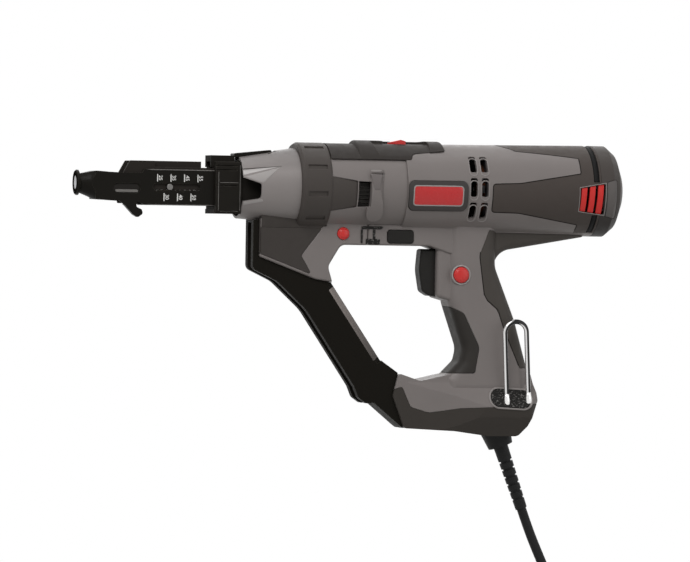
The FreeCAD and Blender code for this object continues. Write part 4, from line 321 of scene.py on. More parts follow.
@dataclass(frozen=True)
class Finish:
    """How a surface looks.

    The two edge fields say how far edges are lightened and by how much, partly as worn edges and partly as
    painted edge highlight, and soften is their radius in metres. Inside a radius about the spindle line it is
    painted black as shade, and from the second of two heights to the first it darkens as painted shade, all
    in millimetres. behind is the painted light tone behind the handle's middle line, specks the strength of
    pale specks, and one more field the strength of a painted dark reflection on a wire.
    """

    name: str
    colour: Triple
    roughness: float
    grain: Grain = Grain.MOULDED
    metallic: float = 0.0
    specular: float = 0.3
    coat: float = 0.0
    mottle: float = 0.07
    # Edges lightened partly as worn, partly as painted edge highlight.
    wear: float = 0.3
    rub: float = 2.2
    soften: float = 0.00045
    slot: str = "grey_shell"
    # Painted shade: black within this radius of the spindle line, in millimetres.
    black_below: float = 0.0
    # Painted reflection: strength of a dark band down a wire.
    painted_reflection: float = 0.0
    # Painted shade: darkening between two heights, in millimetres.
    fade: Flat | None = None
    # Painted light: a lighter tone behind the handle's middle line.
    behind: float = 1.0
    specks: float = 0.0

    def tone(self, factor: float) -> Triple:
        """The finish's colour made lighter or darker by a factor."""
        return tuple(min(1.0, part * factor) for part in self.colour)

    def is_metal(self) -> bool:
        """Whether it looks like bare metal."""
        return self.metallic >= METAL_FROM

    def base(self, tree: NodeTree, edge: Socket, normal: Socket) -> Socket:
        """The colour mottled by broad noise, and lightened where the softened edge leaves the face: partly
        worn edges, partly painted edge highlight.

        Args:
            tree: The material's nodes.
            edge: The softened normal.
            normal: The face's own normal.

        Returns:
            The colour's socket.
        """
        # Edges lightened partly as worn and partly as painted edge highlight; on black parts mostly painted
        # highlight.
        rubbed_and_lit = tree.times(
            tree.ranged(tree.dot(edge, normal), RUB_AND_GLINT_BEND, (0.0, self.wear)),
            tree.ranged(tree.noise(EDGE_NOISE), RUB_AND_GLINT_NOISE, RUB_AND_GLINT_SHARE),
        )
        deep, pale = self.tone(1.0 - self.mottle), self.tone(1.0 + self.mottle)
        mottled = tree.blend(tree.noise(MOTTLE_NOISE), deep, pale)
        rub = METAL_RUB_AND_GLINT if self.is_metal() else 1.0 + self.rub * self.wear
        return tree.blend(rubbed_and_lit, mottled, self.tone(rub))

    def layers(self, tree: NodeTree, normal: Socket) -> Iterator[tuple[Socket, Triple]]:
        """What lies over the base colour: painted black shade, painted darkening, pale specks, painted light
        behind the handle, and a painted dark reflection.

        Args:
            tree: The material's nodes.
            normal: The face's own normal.

        Yields:
            A factor's socket and a colour for each layer.
        """
        # Painted shade: black inside a radius about the spindle line.
        if self.black_below > 0.0:
            radius = self.black_below * MM
            yield tree.ranged(tree.from_spindle(), (radius - PAINTED_SHADE_BLUR, radius), (1.0, 0.0)), PAINTED_SHADE_BLACK
        # Painted shade: darker between two heights.
        if self.fade is not None:
            low, high = ((height - GRIP_Z) * MM for height in self.fade)
            yield tree.ranged(tree.part(tree.place(), "Z"), (low, high), (1.0, 0.0)), self.tone(PAINTED_SHADE_TONE)
        if self.specks > 0.0:
            yield tree.ranged(tree.noise(SPECK_NOISE), SPECK_RANGE, (0.0, self.specks)), SPECK
        # Painted light: lighter behind the handle's middle line.
        if self.behind > 1.0:
            yield tree.ranged(tree.across_handle(), HANDLE_BAND, (0.0, 1.0)), self.tone(self.behind)
        # Painted reflection: a dark band on the wire, by the way its face turns.
        if self.painted_reflection > 0.0:
            way = tree.part(normal, "X")
            front = tree.ranged(way, PAINTED_REFLECTION_FRONT, (0.0, self.painted_reflection))
            yield tree.times(front, tree.ranged(way, PAINTED_REFLECTION_REAR, (1.0, 0.0))), self.tone(PAINTED_REFLECTION_TONE)

    def build(self) -> bpy.types.Material:
        """Make the finish as a node material.

        Roughness follows fine noise, and the normal is the softened edge normal with the grain's bump on it.

        Returns:
            The material.
        """
        material = bpy.data.materials.new(self.name)
        tree = NodeTree(material)
        edge = tree.node("ShaderNodeBevel", {"Radius": self.soften}, samples=EDGE_SAMPLES).outputs["Normal"]
        normal = tree.node("ShaderNodeNewGeometry").outputs["Normal"]
        colour = self.base(tree, edge, normal)
        for factor, over in self.layers(tree, normal):
            colour = tree.blend(factor, colour, over)
        spread = METAL_SPREAD if self.is_metal() else PLASTIC_SPREAD
        gloss = (self.roughness - spread, self.roughness + spread)
        noise, depth = self.grain.value
        height = tree.weave() if noise is None else tree.noise(noise)
        feeds = {"Strength": BUMP_STRENGTH, "Distance": depth, "Height": height, "Normal": edge}
        tree.feed(tree.shader, {
            "Base Color": colour,
            "Roughness": tree.ranged(tree.noise(GLOSS_NOISE), GLOSS_NOISE_RANGE, gloss),
            "Normal": tree.node("ShaderNodeBump", feeds).outputs["Normal"],
            "Metallic": self.metallic,
            "Specular IOR Level": self.specular,
            "Coat Weight": self.coat,
            "Coat Roughness": COAT_ROUGHNESS,
        })
        return material


Made = tuple[Piece, Finish, str]
black = partial(Finish, slot="black_plastic")
dark = partial(Finish, slot="dark_plastic")
red = partial(Finish, grain=Grain.PLAIN, slot="red_plastic")
steel = partial(Finish, grain=Grain.BRUSHED, metallic=1.0, wear=0.2, slot="gear_steel")

GREY_SHELL = Finish("grey_shell", (0.215, 0.192, 0.184), 0.44, wear=0.4, soften=0.0009)
# Lighter than the shell: painted highlight on the rims of slots, vents, the hook pad and the pillar's edges.
RIM_HIGHLIGHT = Finish("rim_highlight", (0.30, 0.275, 0.265), 0.4, wear=0.2)
PANEL_GREY = Finish("panel_grey", (0.165, 0.146, 0.141), 0.46, wear=0.2)
# Painted highlight on the nose cone's facet, and a dimmer painted sheen on its wing and brow.
CONE_FACET_HIGHLIGHT = Finish("cone_facet_highlight", (0.50, 0.475, 0.465), 0.4, metallic=0.1, wear=0.2)
CONE_PAINTED_SHEEN = replace(CONE_FACET_HIGHLIGHT, name="cone_painted_sheen", colour=(0.36, 0.337, 0.328))
# Darker towards the cone's top: painted shade.
CONE_GREY = Finish("cone_grey", (0.262, 0.238, 0.230), 0.4, metallic=0.1, wear=0.4, fade=(44.0, 10.0))
INSERT_GREY = Finish("insert_grey", (0.115, 0.104, 0.099), 0.5, wear=0.25)
LEG_PANEL = Finish(
    "leg_panel", (0.050, 0.043, 0.039), 0.6, Grain.SOFT, specular=0.2, wear=0.4, rub=3.0, soften=0.0009,
)
TAIL_RUBBER = replace(
    LEG_PANEL, name="tail_rubber", colour=(0.066, 0.054, 0.048), roughness=0.55, slot="soft_grip",
)
# Lighter behind the handle's middle line: painted light on the grip's rear.
SOFT_GRIP = replace(
    TAIL_RUBBER, name="soft_grip", colour=(0.030, 0.0265, 0.0235), specular=0.18, behind=2.3,
)
TAIL_BLACK = Finish(
    "tail_black", (0.010, 0.010, 0.010), 0.6, Grain.SOFT, specular=0.1, wear=0.0, slot="soft_grip",
)
DARK_PLASTIC = dark(
    "dark_plastic", (0.064, 0.055, 0.050), 0.5, specular=0.2, wear=0.4, rub=3.0, soften=0.0009,
)
# Darker towards the cap's bottom: painted shade.
CAP_PLASTIC = replace(DARK_PLASTIC, name="cap_plastic", fade=(-34.0, -3.0))
COVER_PLASTIC = dark(
    "cover_plastic", (0.038, 0.033, 0.030), 0.55, specular=0.12, wear=0.5, rub=4.0, soften=0.0009,
)
SHOE_PLASTIC = dark("shoe_plastic", (0.046, 0.040, 0.035), 0.52, specular=0.15, wear=0.2, rub=3.5)
TRIGGER_BLACK = dark("trigger_black", (0.014, 0.013, 0.0115), 0.46, specular=0.15, wear=0.4, rub=2.5)
# Its edges are lightened many times over, mostly as painted edge highlight.
BLACK_PLASTIC = black("black_plastic", (0.0105, 0.0094, 0.0076), 0.36, specular=0.06, wear=0.7, rub=16.0)
SLIDE_BLACK = black("slide_black", (0.030, 0.026, 0.023), 0.4, specular=0.03, wear=0.6, rub=5.0)
GUIDE_BLACK = black("guide_black", (0.021, 0.019, 0.0165), 0.5, specular=0.01, wear=0.7, rub=8.0)
# The wheel's ridges are lightened many times over: painted highlight.
WHEEL_BLACK = dark("wheel_black", (0.012, 0.011, 0.010), 0.5, specular=0.1, wear=0.9, rub=26.0)
ARM_BLACK = black("arm_black", (0.0135, 0.012, 0.0098), 0.45, specular=0.02, wear=0.5, rub=10.0)
# Painted reflection along the arm's bevel, darker towards its foot as painted shade.
ARM_EDGE_HIGHLIGHT = black("arm_edge", (0.33, 0.29, 0.27), 0.4, specular=0.2, mottle=0.35, fade=(-132.0, -72.0))
# Painted highlight on the edges of the nosepiece's recess and plate and of the guide block.
PAINTED_HIGHLIGHT = black("slot_gloss", (0.19, 0.18, 0.17), 0.34, specular=0.2, mottle=0.2, wear=0.2)
# Lighter than the nosepiece's black: painted light on the recess floor.
SLOT_FLOOR = black("slot_floor", (0.017, 0.015, 0.013), 0.4, specular=0.1, mottle=0.2)
LIP_BLACK = black("lip_black", (0.012, 0.011, 0.009), 0.6, specular=0.0, wear=0.0)
SEAM_DARK = Finish("seam_dark", (0.016, 0.0145, 0.013), 0.6, specular=0.05, wear=0.0, slot="soft_grip")
PAD_BLACK = black(
    "pad_black", (0.0085, 0.0078, 0.007), 0.5, Grain.CAST, specular=0.15, mottle=0.5, wear=0.1, specks=0.9,
)
RED_PLASTIC = red("red_plastic", (0.68, 0.028, 0.024), 0.3, coat=0.2, wear=0.1)
# Painted black inside 31.6 mm of the spindle line: painted shade in the vents' recess.
VENT_RED = red("vent_red", (0.70, 0.030, 0.026), 0.34, wear=0.1, black_below=31.6)
BADGE_RED = red("badge_red", (0.60, 0.020, 0.022), 0.26, coat=0.3, wear=0.0)
BADGE_FRAME = black("badge_frame", (0.056, 0.050, 0.048), 0.45, specular=0.2, wear=0.2, rub=4.0)
PALE_TRIM = Finish("pale_trim", (0.40, 0.38, 0.37), 0.34, Grain.PLAIN, wear=0.1)
WHITE_PRINT = Finish("white_print", (0.92, 0.91, 0.88), 0.5, Grain.PLAIN, wear=0.0, mottle=0.04)
STEEL = steel("steel", (0.50, 0.50, 0.51), 0.3)
DARK_STEEL = steel("dark_steel", (0.16, 0.155, 0.15), 0.36)
LAMINATION = Finish("lamination", (0.16, 0.16, 0.165), 0.5, Grain.BRUSHED, 1.0, slot="lamination")
ALLOY = Finish("alloy", (0.55, 0.55, 0.56), 0.48, Grain.CAST, 1.0, slot="cast_alloy")
COPPER = Finish("copper", (0.115, 0.036, 0.015), 0.35, Grain.BRUSHED, coat=0.2, slot="brass")
BRASS = Finish("brass", (0.62, 0.47, 0.27), 0.34, Grain.CAST, 1.0, slot="brass")
CARBON = Finish("carbon", (0.02, 0.02, 0.02), 0.6, Grain.CAST, slot="carbon")
BRIGHT_WIRE = Finish(
    "bright_wire", (0.80, 0.79, 0.78), 0.25, Grain.PLAIN, 1.0, wear=0.1, mottle=0.03, slot="chrome_wire",
)
# A dark painted reflection runs down each leg of the wire.
CHROME = replace(BRIGHT_WIRE, name="chrome", colour=(0.66, 0.65, 0.65), roughness=0.12, painted_reflection=1.0)
CORD_RUBBER = Finish(
    "cord_rubber", (0.011, 0.011, 0.011), 0.5, Grain.SOFT, specular=0.15, wear=0.1, slot="cord_rubber",
)
PLUG_BLACK = Finish("plug_black", (0.014, 0.014, 0.014), 0.42, specular=0.2, wear=0.2, slot="plug_plastic")
STRAP = Finish("strap", (0.022, 0.022, 0.023), 0.8, Grain.WOVEN, specular=0.1, wear=0.1, slot="tie_fabric")
PIN_NICKEL = Finish("pin_nickel", (0.68, 0.66, 0.61), 0.2, Grain.BRUSHED, 1.0, slot="pin_metal")

NODE_FINISHES: dict[Finish, tuple[str, ...]] = {
    GREY_SHELL: ("motor_housing_left", "motor_housing_right", "front_housing_left", "front_housing_right"),
    CONE_GREY: ("nose_cone",),
    INSERT_GREY: ("cap_inserts",),
    LEG_PANEL: ("leg_panels",),
    SOFT_GRIP: ("handle_grips",),
    TAIL_RUBBER: ("tail_sleeve",),
    DARK_PLASTIC: ("collar_ring",),
    CAP_PLASTIC: ("rear_cap",),
    WHEEL_BLACK: ("depth_wheel",),
    COVER_PLASTIC: ("top_cover",),
    TRIGGER_BLACK: ("trigger", "module_latch"),
    SHOE_PLASTIC: ("base_shoe",),
    BLACK_PLASTIC: ("nosepiece", "nose_latch", "feed_sprocket", "switch_body", "cooling_fan"),
    SLIDE_BLACK: ("feed_slide",),
    GUIDE_BLACK: ("guide_block",),
    ARM_BLACK: ("feed_rail",),
    RED_PLASTIC: ("direction_slider", "lock_button", "release_button"),
    VENT_RED: ("vent_grilles",),
    BADGE_FRAME: ("badge",),
    STEEL: (
        "ring_gear", "planet_gear_1", "planet_gear_2", "planet_gear_3", "planet_carrier", "motor_shaft",
        "clutch_spindle", "driver_bit", "depth_stop", "motor_bearings", "housing_screws", "return_spring",
        "clutch_spring",
    ),
    DARK_STEEL: ("setting_button",),
    LAMINATION: ("stator_core", "armature_core"),
    ALLOY: ("gear_case",),
    COPPER: ("armature_windings", "field_coils"),
    BRASS: ("brush_holders", "spindle_bush"),
    CARBON: ("carbon_brushes",),
    CHROME: ("belt_hook",),
    CORD_RUBBER: ("cord_guard",),
    PLUG_BLACK: ("plug_body",),
    STRAP: ("cord_tie",),
    PIN_NICKEL: ("plug_pins",),
}


class Paintbox:
    """The materials of all finishes, each made once."""

    def __init__(self) -> None:
        """Start with no material made."""
        self.made: dict[Finish, bpy.types.Material] = {}

    def material(self, finish: Finish) -> bpy.types.Material:
        """The finish's material, made at the first call.

        Args:
            finish: The finish.

        Returns:
            Its material.
        """
        if finish not in self.made:
            self.made[finish] = finish.build()
        return self.made[finish]

    def dress_nodes(self, nodes: dict[str, Piece]) -> None:
        """Give every node of the frame its finish.

        Args:
            nodes: The frame's nodes by name.
        """
        for finish, names in NODE_FINISHES.items():
            for name in names:
                for place in nodes[name].material_slots:
                    place.material = self.material(finish)
                LOG.info("node %s in %s", name, finish.name)

    def fit(self, piece: Piece, finish: Finish, body: str) -> None:
        """Give a made piece its finish and the body it moves with.

        Args:
            piece: The piece.
            finish: Its finish.
            body: Name of the body that it rides on.
        """
        piece.data.materials.clear()
        piece.data.materials.append(self.material(finish))
        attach(piece, body)
        LOG.info("piece %s", piece.name)


class Assembly(ABC):
    """A sub-assembly that is made of pieces on the frame's bodies."""

    @abstractmethod
    def pieces(self) -> Iterator[Made]:
        """Make each piece, with its finish and the name of its body."""

    def build(self, paint: Paintbox) -> None:
        """Make and fit each piece."""
        for piece, finish, body in self.pieces():
            paint.fit(piece, finish, body)


def tube_faces(tubes: int, rings: int, places: int) -> Array:
    """Quads of several tubes of points.

    Args:
        tubes: How many tubes there are.
        rings: Rings in each tube.
        places: Points in each ring.

    Returns:
        An array of four point numbers for each quad.
    """
    tube, ring, place = np.meshgrid(np.arange(tubes), np.arange(rings - 1), np.arange(places), indexing="ij")
    near = (tube * rings + ring) * places
    following = (place + 1) % places
    corners = [near + place, near + following, near + places + following, near + places + place]
    return np.stack(corners, axis=-1).reshape(-1, 4)


def make_piece(
    name: str, grids: list[Array], caps: list[list[int]] | None = None, smooth: bool = True,
) -> Piece:
    """Several tubes as one new object at the origin, with its faces outwards.

    Args:
        name: The piece's name.
        grids: Points of each tube in the drawing's millimetres, ring by ring, all with as many points.
        caps: Further faces, as point numbers.
        smooth: Whether faces are shaded smooth.

    Returns:
        The new object.
    """
    points = np.stack(grids)
    mesh = bpy.data.meshes.new(name)
    faces = tube_faces(*points.shape[:3]).tolist() + (caps or [])
    mesh.from_pydata(row(points.reshape(-1, 3)).tolist(), [], faces)
    mesh.validate()
    mesh.polygons.foreach_set("use_smooth", np.full(len(mesh.polygons), smooth))
    work = bmesh.new()
    work.from_mesh(mesh)
    bmesh.ops.remove_doubles(work, verts=work.verts, dist=WELD)
    bmesh.ops.recalc_face_normals(work, faces=work.faces)
    work.to_mesh(mesh)
    work.free()
    return new_object(name, mesh)


def spread_evenly(line: Array, count: int, closed: bool = True) -> Array:
    """Points at even distances along a line of corners, by linear interpolation over the length walked.

    Args:
        line: The corner points on the plane.
        count: How many points to give.
        closed: Whether the line goes back to its first corner.

    Returns:
        The points.
    """
    if closed:
        line = np.vstack([line, line[:1]])
    walked = np.concatenate([[0.0], np.cumsum(np.linalg.norm(np.diff(line, axis=0), axis=1))])
    stops = np.linspace(0.0, walked[-1], count, endpoint=not closed)
    return np.stack([np.interp(stops, walked, line[:, side]) for side in range(2)], axis=-1)


def rounded_outline(half: Array, radius: float, count: int) -> Array:
    """A rectangle with rounded corners: at each angle, the corner's centre plus the radius that way.

    Args:
        half: Half its size along each axis.
        radius: Corner radius.
        count: Points round the outline.

    Returns:
        Points on the plane, at even distances.
    """
    angle = (np.arange(OUTLINE_ANGLES) + 0.5) * 2 * math.pi / OUTLINE_ANGLES
    way = np.stack([np.cos(angle), np.sin(angle)], axis=-1)
    return spread_evenly(np.sign(way) * (half - radius) + way * radius, count)


def closed_ends(grid: Array) -> Array:
    """Close a tube's two ends: before the first and after the last ring comes its middle point, as a ring.

    Args:
        grid: Points of the tube, ring by ring.

    Returns:
        The points with one more ring at each end.
    """
    ends = (grid[:1], grid[-1:])
    first, last = (np.broadcast_to(end.mean(axis=1, keepdims=True), end.shape) for end in ends)
    return np.concatenate([first, grid, last])


def turned(profile: Array, axis: Axis, centre: Flat = (0.0, 0.0), span: Flat = (0.0, 360.0)) -> Array:
    """A ring or part of one: a closed outline carried round an axis.

    Args:
        profile: The outline as distances along the axis and radii.
        axis: Whether the axis runs along the tool or across it.
        centre: Where the axis stands, as y and z along the tool, or as x and z across it.
        span: The angles between which it is carried, in degrees.

    Returns:
        The ring's points, outline by outline.
    """
    angle = np.radians(np.linspace(*span, TURN_STEPS))[:, None]
    first = centre[0] + profile[:, 1] * np.cos(angle)
    second = centre[1] + profile[:, 1] * np.sin(angle)
    reach = np.broadcast_to(profile[:, 0], first.shape)
    order = [reach, first, second] if axis is Axis.ALONG else [first, reach, second]
    return np.stack(order, axis=-1)


def ring_outline(low: float, high: float, inner: float, outer: float) -> Array:
    """A rectangular ring's outline from its two ends and two radii."""
    return np.array([[low, inner], [high, inner], [high, outer], [low, outer]])


def sleeve(start: Array, way: Array, reach: Array, radii: Array) -> Array:
    """A round sleeve about a line: rings of given radii at given distances along it.

    Args:
        start: A point on the line.
        way: The line's direction, of length one.
        reach: Distance of each ring along the line.
        radii: Radius of each ring.

    Returns:
        The sleeve's points, ring by ring.
    """
    side = np.cross(way, np.array([0.0, 1.0, 0.0]))
    side = side / np.linalg.norm(side)
    angle = np.linspace(0.0, 2 * math.pi, SLEEVE_POINTS, endpoint=False)[:, None]
    ring = np.cos(angle) * side + np.sin(angle) * np.cross(way, side)
    return start + way * reach[:, None, None] + radii[:, None, None] * ring


def barrel_radius(x: Array) -> Array:
    """The motor barrel's radius: a straight taper, then constant over the rear cap."""
    return np.minimum(32.0 + 1.5 * (x - 241.0) / 147.0, 33.5)


def barrel_reach(flat: Array) -> Array:
    """How far the barrel reaches at an x and a y or z: the root of the radius squared less that squared."""
    return np.sqrt(barrel_radius(flat[..., 0]) ** 2 - flat[..., 1] ** 2)


def barrel_side(flat: Array) -> Array:
    """The barrel's left side."""
    return -barrel_reach(flat)


def base_side(flat: Array) -> Array:
    """The base's left side: y runs straight from one height to the next."""
    return -np.interp(-flat[..., 1], [128.0, 142.0, 159.0, 167.0], [14.0, 14.5, 23.5, 22.5])


def pillar_side(flat: Array) -> Array:
    """The gear barrel's left side with its half round column, which is cut off at an outer radius.

    Args:
        flat: Places as x and z.

    Returns:
        The side's y at each place.
    """
    squared = flat[..., 1] ** 2
    column = 27.6 + np.sqrt(np.maximum(6.2**2 - (flat[..., 0] - 217.0) ** 2, 0.0))
    return -np.maximum(np.sqrt(30.6**2 - squared), np.minimum(column, np.sqrt(33.4**2 - squared)))


@dataclass(frozen=True)
class ConeSide:
    """The nose cone's left side: a circle whose radius grows and whose middle rises along x."""

    front_radius: float
    rear_radius: float = 27.8
    start: float = 120.0
    length: float = 42.0
    drop: float = 1.5

    def __call__(self, flat: Array) -> Array:
        """Minus the root of the radius squared less the height above the circle's middle squared.

        Args:
            flat: Places as x and z.

        Returns:
            The side's y at each place.
        """
        along = (flat[..., 0] - self.start) / self.length
        radius = self.front_radius + (self.rear_radius - self.front_radius) * along
        return -np.sqrt(radius**2 - (flat[..., 1] + self.drop - self.drop * along) ** 2)


@dataclass(frozen=True)
class FlatSide:
    """A flat left side of the tool."""

    y: float

    def __call__(self, flat: Array) -> Array:
        """The same y at every place."""
        return np.full(flat.shape[:-1], self.y)


CONE_SKIN = ConeSide(22.7)
CONE_FLOOR = ConeSide(21.6)
# The edge of a plate or frame: shares of the edge's width inwards and downwards.
ROUND_EDGE: Outline = ((0.0, 0.8), (0.3, 0.25), (1.0, 0.0))
FLAT_EDGE: Outline = ((0.0, 0.5), (1.0, 0.0))


@dataclass
class SidePlate:
    """A thin plate with rounded corners that follows the tool's left side, or the right as its mirror."""

    profile: ClassVar[Outline] = ROUND_EDGE

    surface: Surface
    centre: Flat = (0.0, 0.0)
    half: Flat = (1.0, 1.0)
    corner: float = 0.0
    lean: float = 0.0
    count: int = 96
    mirror: bool = False

    def carry(self, flat: Array, height: Array) -> Array:
        """Lean flat points, move them to the plate's place and lay them on the surface.

        Args:
            flat: Points as x and z about the plate's centre.
            height: Height of each above the surface.

        Returns:
            Points as x, y and z.
        """
        turn = math.radians(self.lean)
        spin = np.array([[math.cos(turn), math.sin(turn)], [-math.sin(turn), math.cos(turn)]])
        placed = flat @ spin + np.array(self.centre)
        side = self.surface(placed) - height
        return np.stack([placed[..., 0], -side if self.mirror else side, placed[..., 1]], axis=-1)

    def middle(self) -> Array:
        """The middle of the outline, about the plate's centre."""
        return np.zeros(2)

    def outline(self, margin: float) -> Array:
        """The plate's outline, drawn in by a margin."""
        radius = max(self.corner - margin, LEAST_CORNER)
        return rounded_outline(np.array(self.half) - margin, radius, self.count)

    def loops(self, section: list[Flat]) -> tuple[Array, Array]:
        """The outline drawn in by each margin of a section, and the section's heights."""
        flat = np.stack([self.outline(margin) for margin, _ in section])
        return flat, np.array([height for _, height in section])[:, None]

    def plate(self, name: str, edge: float, top: float, base: float) -> Piece:
        """A closed plate: its foot, its edge, and rings from there to its middle.

        Args:
            name: The piece's name.
            edge: Width of the edge.
            top: Height of its face above the surface.
            base: Height of its underside.

        Returns:
            The plate.
        """
        rise = [(edge * inward, top - edge * drop) for inward, drop in self.profile]
        rim, heights = self.loops([(0.0, base), *rise])
        inwards = np.linspace(1.0, INNER_SHARE, PLATE_RINGS)[1:, None, None]
        rings = self.middle() + (rim[-1] - self.middle()) * inwards
        points = self.carry(np.vstack([rim, rings]), np.vstack([heights, np.full((len(rings), 1), top)]))
        last = (len(points) - 1) * self.count
        return make_piece(name, [points], [list(range(first, first + self.count)) for first in (last, 0)])

    def frame(self, wide: float, edge: float, top: float, base: float) -> Array:
        """A closed frame round the plate's outline.

        Args:
            wide: Width of the frame, inwards from the outline.
            edge: Width of its rounded edges.
            top: Height of its crest above the surface.
            base: Height of its underside.

        Returns:
            The frame's points, loop by loop.
        """
        rise = [(edge * inward, top - edge * drop) for inward, drop in ROUND_EDGE]
        fall = [(wide - inward, height) for inward, height in reversed(rise)]
        return self.carry(*self.loops([(0.0, base), *rise, *fall, (wide, base), (0.0, base)]))


@dataclass
class BarrelSlot(SidePlate):
    """A plate rolled round the motor barrel: its centre is a station and an angle below the middle."""

    def carry(self, flat: Array, height: Array) -> Array:
        """Roll flat points round the barrel: the second way is an arc.

        Args:
            flat: Points along the barrel and along the arc, about the plate's centre.
            height: Height of each above the barrel.

        Returns:
            Points as x, y and z.
        """
        x = flat[..., 0] + self.centre[0]
        radius = barrel_radius(x)
        angle = math.radians(self.centre[1]) + flat[..., 1] / radius
        side = -(radius + height) * np.cos(angle)
        return np.stack([x, -side if self.mirror else side, -(radius + height) * np.sin(angle)], axis=-1)


@dataclass
class Facet(SidePlate):
    """A plate of any corners on the tool's side, in place of a rounded rectangle."""

    profile: ClassVar[Outline] = FLAT_EDGE

    corners: Outline = ()

    def middle(self) -> Array:
        """The middle of the corners."""
        return np.array(self.corners).mean(axis=0)

    def outline(self, margin: float) -> Array:
        """The corners' outline, drawn towards its middle until its nearest corner has moved by the margin.

        Args:
            margin: How far the nearest corner moves.

        Returns:
            Points round it, at even distances.
        """
        spokes = np.array(self.corners) - self.middle()
        reach = np.linalg.norm(spokes, axis=1).min()
        return spread_evenly(self.middle() + spokes * (1.0 - margin / reach), self.count)


def bar(surface: Surface, box: Box, lean: float = 0.0) -> SidePlate:
    """A small plate between two stations and two heights.

    Args:
        surface: What it lies on.
        box: Lowest and highest x, lowest and highest z.
        lean: Turn about its own middle, in degrees.

    Returns:
        The plate, with few points.
    """
    low, high, bottom, top = box
    half = ((high - low) / 2, (top - bottom) / 2)
    return SidePlate(surface, ((low + high) / 2, (bottom + top) / 2), half, SMALL_CORNER, lean, SMALL_POINTS)


def thin_plates(name: str, plates: list[SidePlate], top: float, base: float) -> Piece:
    """Several small plates with square edges as one piece.

    Args:
        name: The piece's name.
        plates: The plates, all with as many points.
        top: Height of their faces above the surface.
        base: Height of their undersides.

    Returns:
        The piece.
    """
    count = plates[0].count
    grids = [one.carry(*one.loops([(0.0, base), (0.0, top)])) for one in plates]
    caps = [list(range(count * loop, count * loop + count)) for loop in range(2 * len(plates))]
    return make_piece(name, grids, caps, smooth=False)


@dataclass
class Badge(Assembly):
    """The bare red plate in the frame on the left side of the barrel, and its pale rim."""

    front: float = 244.8
    rear: float = 282.9
    middle_z: float = -5.5
    half_height: float = 7.6
    corner: float = 2.6
    rim: float = 0.8
    base: float = 0.5

    def pieces(self) -> Iterator[Made]:
        """Make the rim and the plate in it.

        Yields:
            Each piece with its finish and the name of its body.
        """
        centre = ((self.front + self.rear) / 2, self.middle_z)
        half = ((self.rear - self.front) / 2, self.half_height)
        rim = SidePlate(barrel_side, centre, half, self.corner)
        inner = (half[0] - self.rim, half[1] - self.rim)
        face = SidePlate(barrel_side, centre, inner, self.corner - self.rim)
        loops = rim.frame(self.rim + LAP, edge=0.25, top=1.1, base=self.base)
        yield make_piece("badge_rim", [loops]), PALE_TRIM, HOUSING
        yield face.plate("badge_plate", edge=0.3, top=1.0, base=self.base), BADGE_RED, HOUSING


@dataclass
class LengthScale(Assembly):
    """The printed length marks on the nosepiece: ticks and numbers in two rows, and a dashed line."""

    first_x: float = 58.6
    step: float = 5.0
    numbers: range = range(25, 60, 5)
    face_y: float = -10.6
    row_heights: Flat = (4.2, -9.6)
    tick_half: Flat = (0.375, 2.9)
    tick_corner: float = 0.2
    dash_z: float = -4.4
    dash_half: Flat = (0.85, 0.14)
    dash_corner: float = 0.1
    dash_run: float = 32.0
    dash_step: float = 3.4
    print_lift: float = 0.06
    digit_size: float = 3.8
    digit_bold: float = 0.07
    digit_rise: float = 1.0

    def marks(self) -> list[tuple[float, float, str]]:
        """Station, height and number of each mark, odd fives above and even fives below.

        Returns:
            A station, a height and a number for each mark.
        """
        return [
            (self.first_x + self.step * count, self.row_heights[count % 2], str(number))
            for count, number in enumerate(self.numbers)
        ]

    def ticks(self) -> Piece:
        """All ticks and dashes as one piece.

        Returns:
            The piece.
        """
        small = partial(SidePlate, FlatSide(self.face_y), count=SMALL_POINTS)
        plates = [small((x, z), self.tick_half, self.tick_corner) for x, z, _ in self.marks()]
        stations = np.arange(self.first_x, self.first_x + self.dash_run, self.dash_step)
        plates += [small((float(x), self.dash_z), self.dash_half, self.dash_corner) for x in stations]
        return thin_plates("length_ticks", plates, self.print_lift, 0.0)

    def number(self, x: float, z: float, words: str) -> Piece:
        """One number, turned to read downwards, with its foot at its tick.

        Args:
            x: The tick's station.
            z: The tick's height.
            words: The number.

        Returns:
            The piece.
        """
        curve = bpy.data.curves.new("number", "FONT")
        curve.body = words
        curve.size = self.digit_size * MM
        curve.extrude = self.print_lift * MM / 2
        curve.offset = self.digit_bold * MM
        curve.align_x = "CENTER"
        text = new_object("number", curve)
        mesh = bpy.data.meshes.new_from_object(text)
        bpy.data.objects.remove(text)
        local = np.empty(len(mesh.vertices) * 3)
        mesh.vertices.foreach_get("co", local)
        local = local.reshape(-1, 3)
        place = row(np.array([x + self.digit_rise, self.face_y - self.print_lift / 2, z]))
        turn = np.stack([local[:, 1], -local[:, 2], -local[:, 0]], axis=-1) + place
        mesh.vertices.foreach_set("co", turn.ravel())
        return new_object("length_number_" + words, mesh)

    def pieces(self) -> Iterator[Made]:
        """Print the ticks and numbers on the nosepiece.

        Yields:
            Each piece with its finish and the name of its body.
        """
        yield self.ticks(), WHITE_PRINT, NOSE
        for mark in self.marks():
            yield self.number(*mark), WHITE_PRINT, NOSE


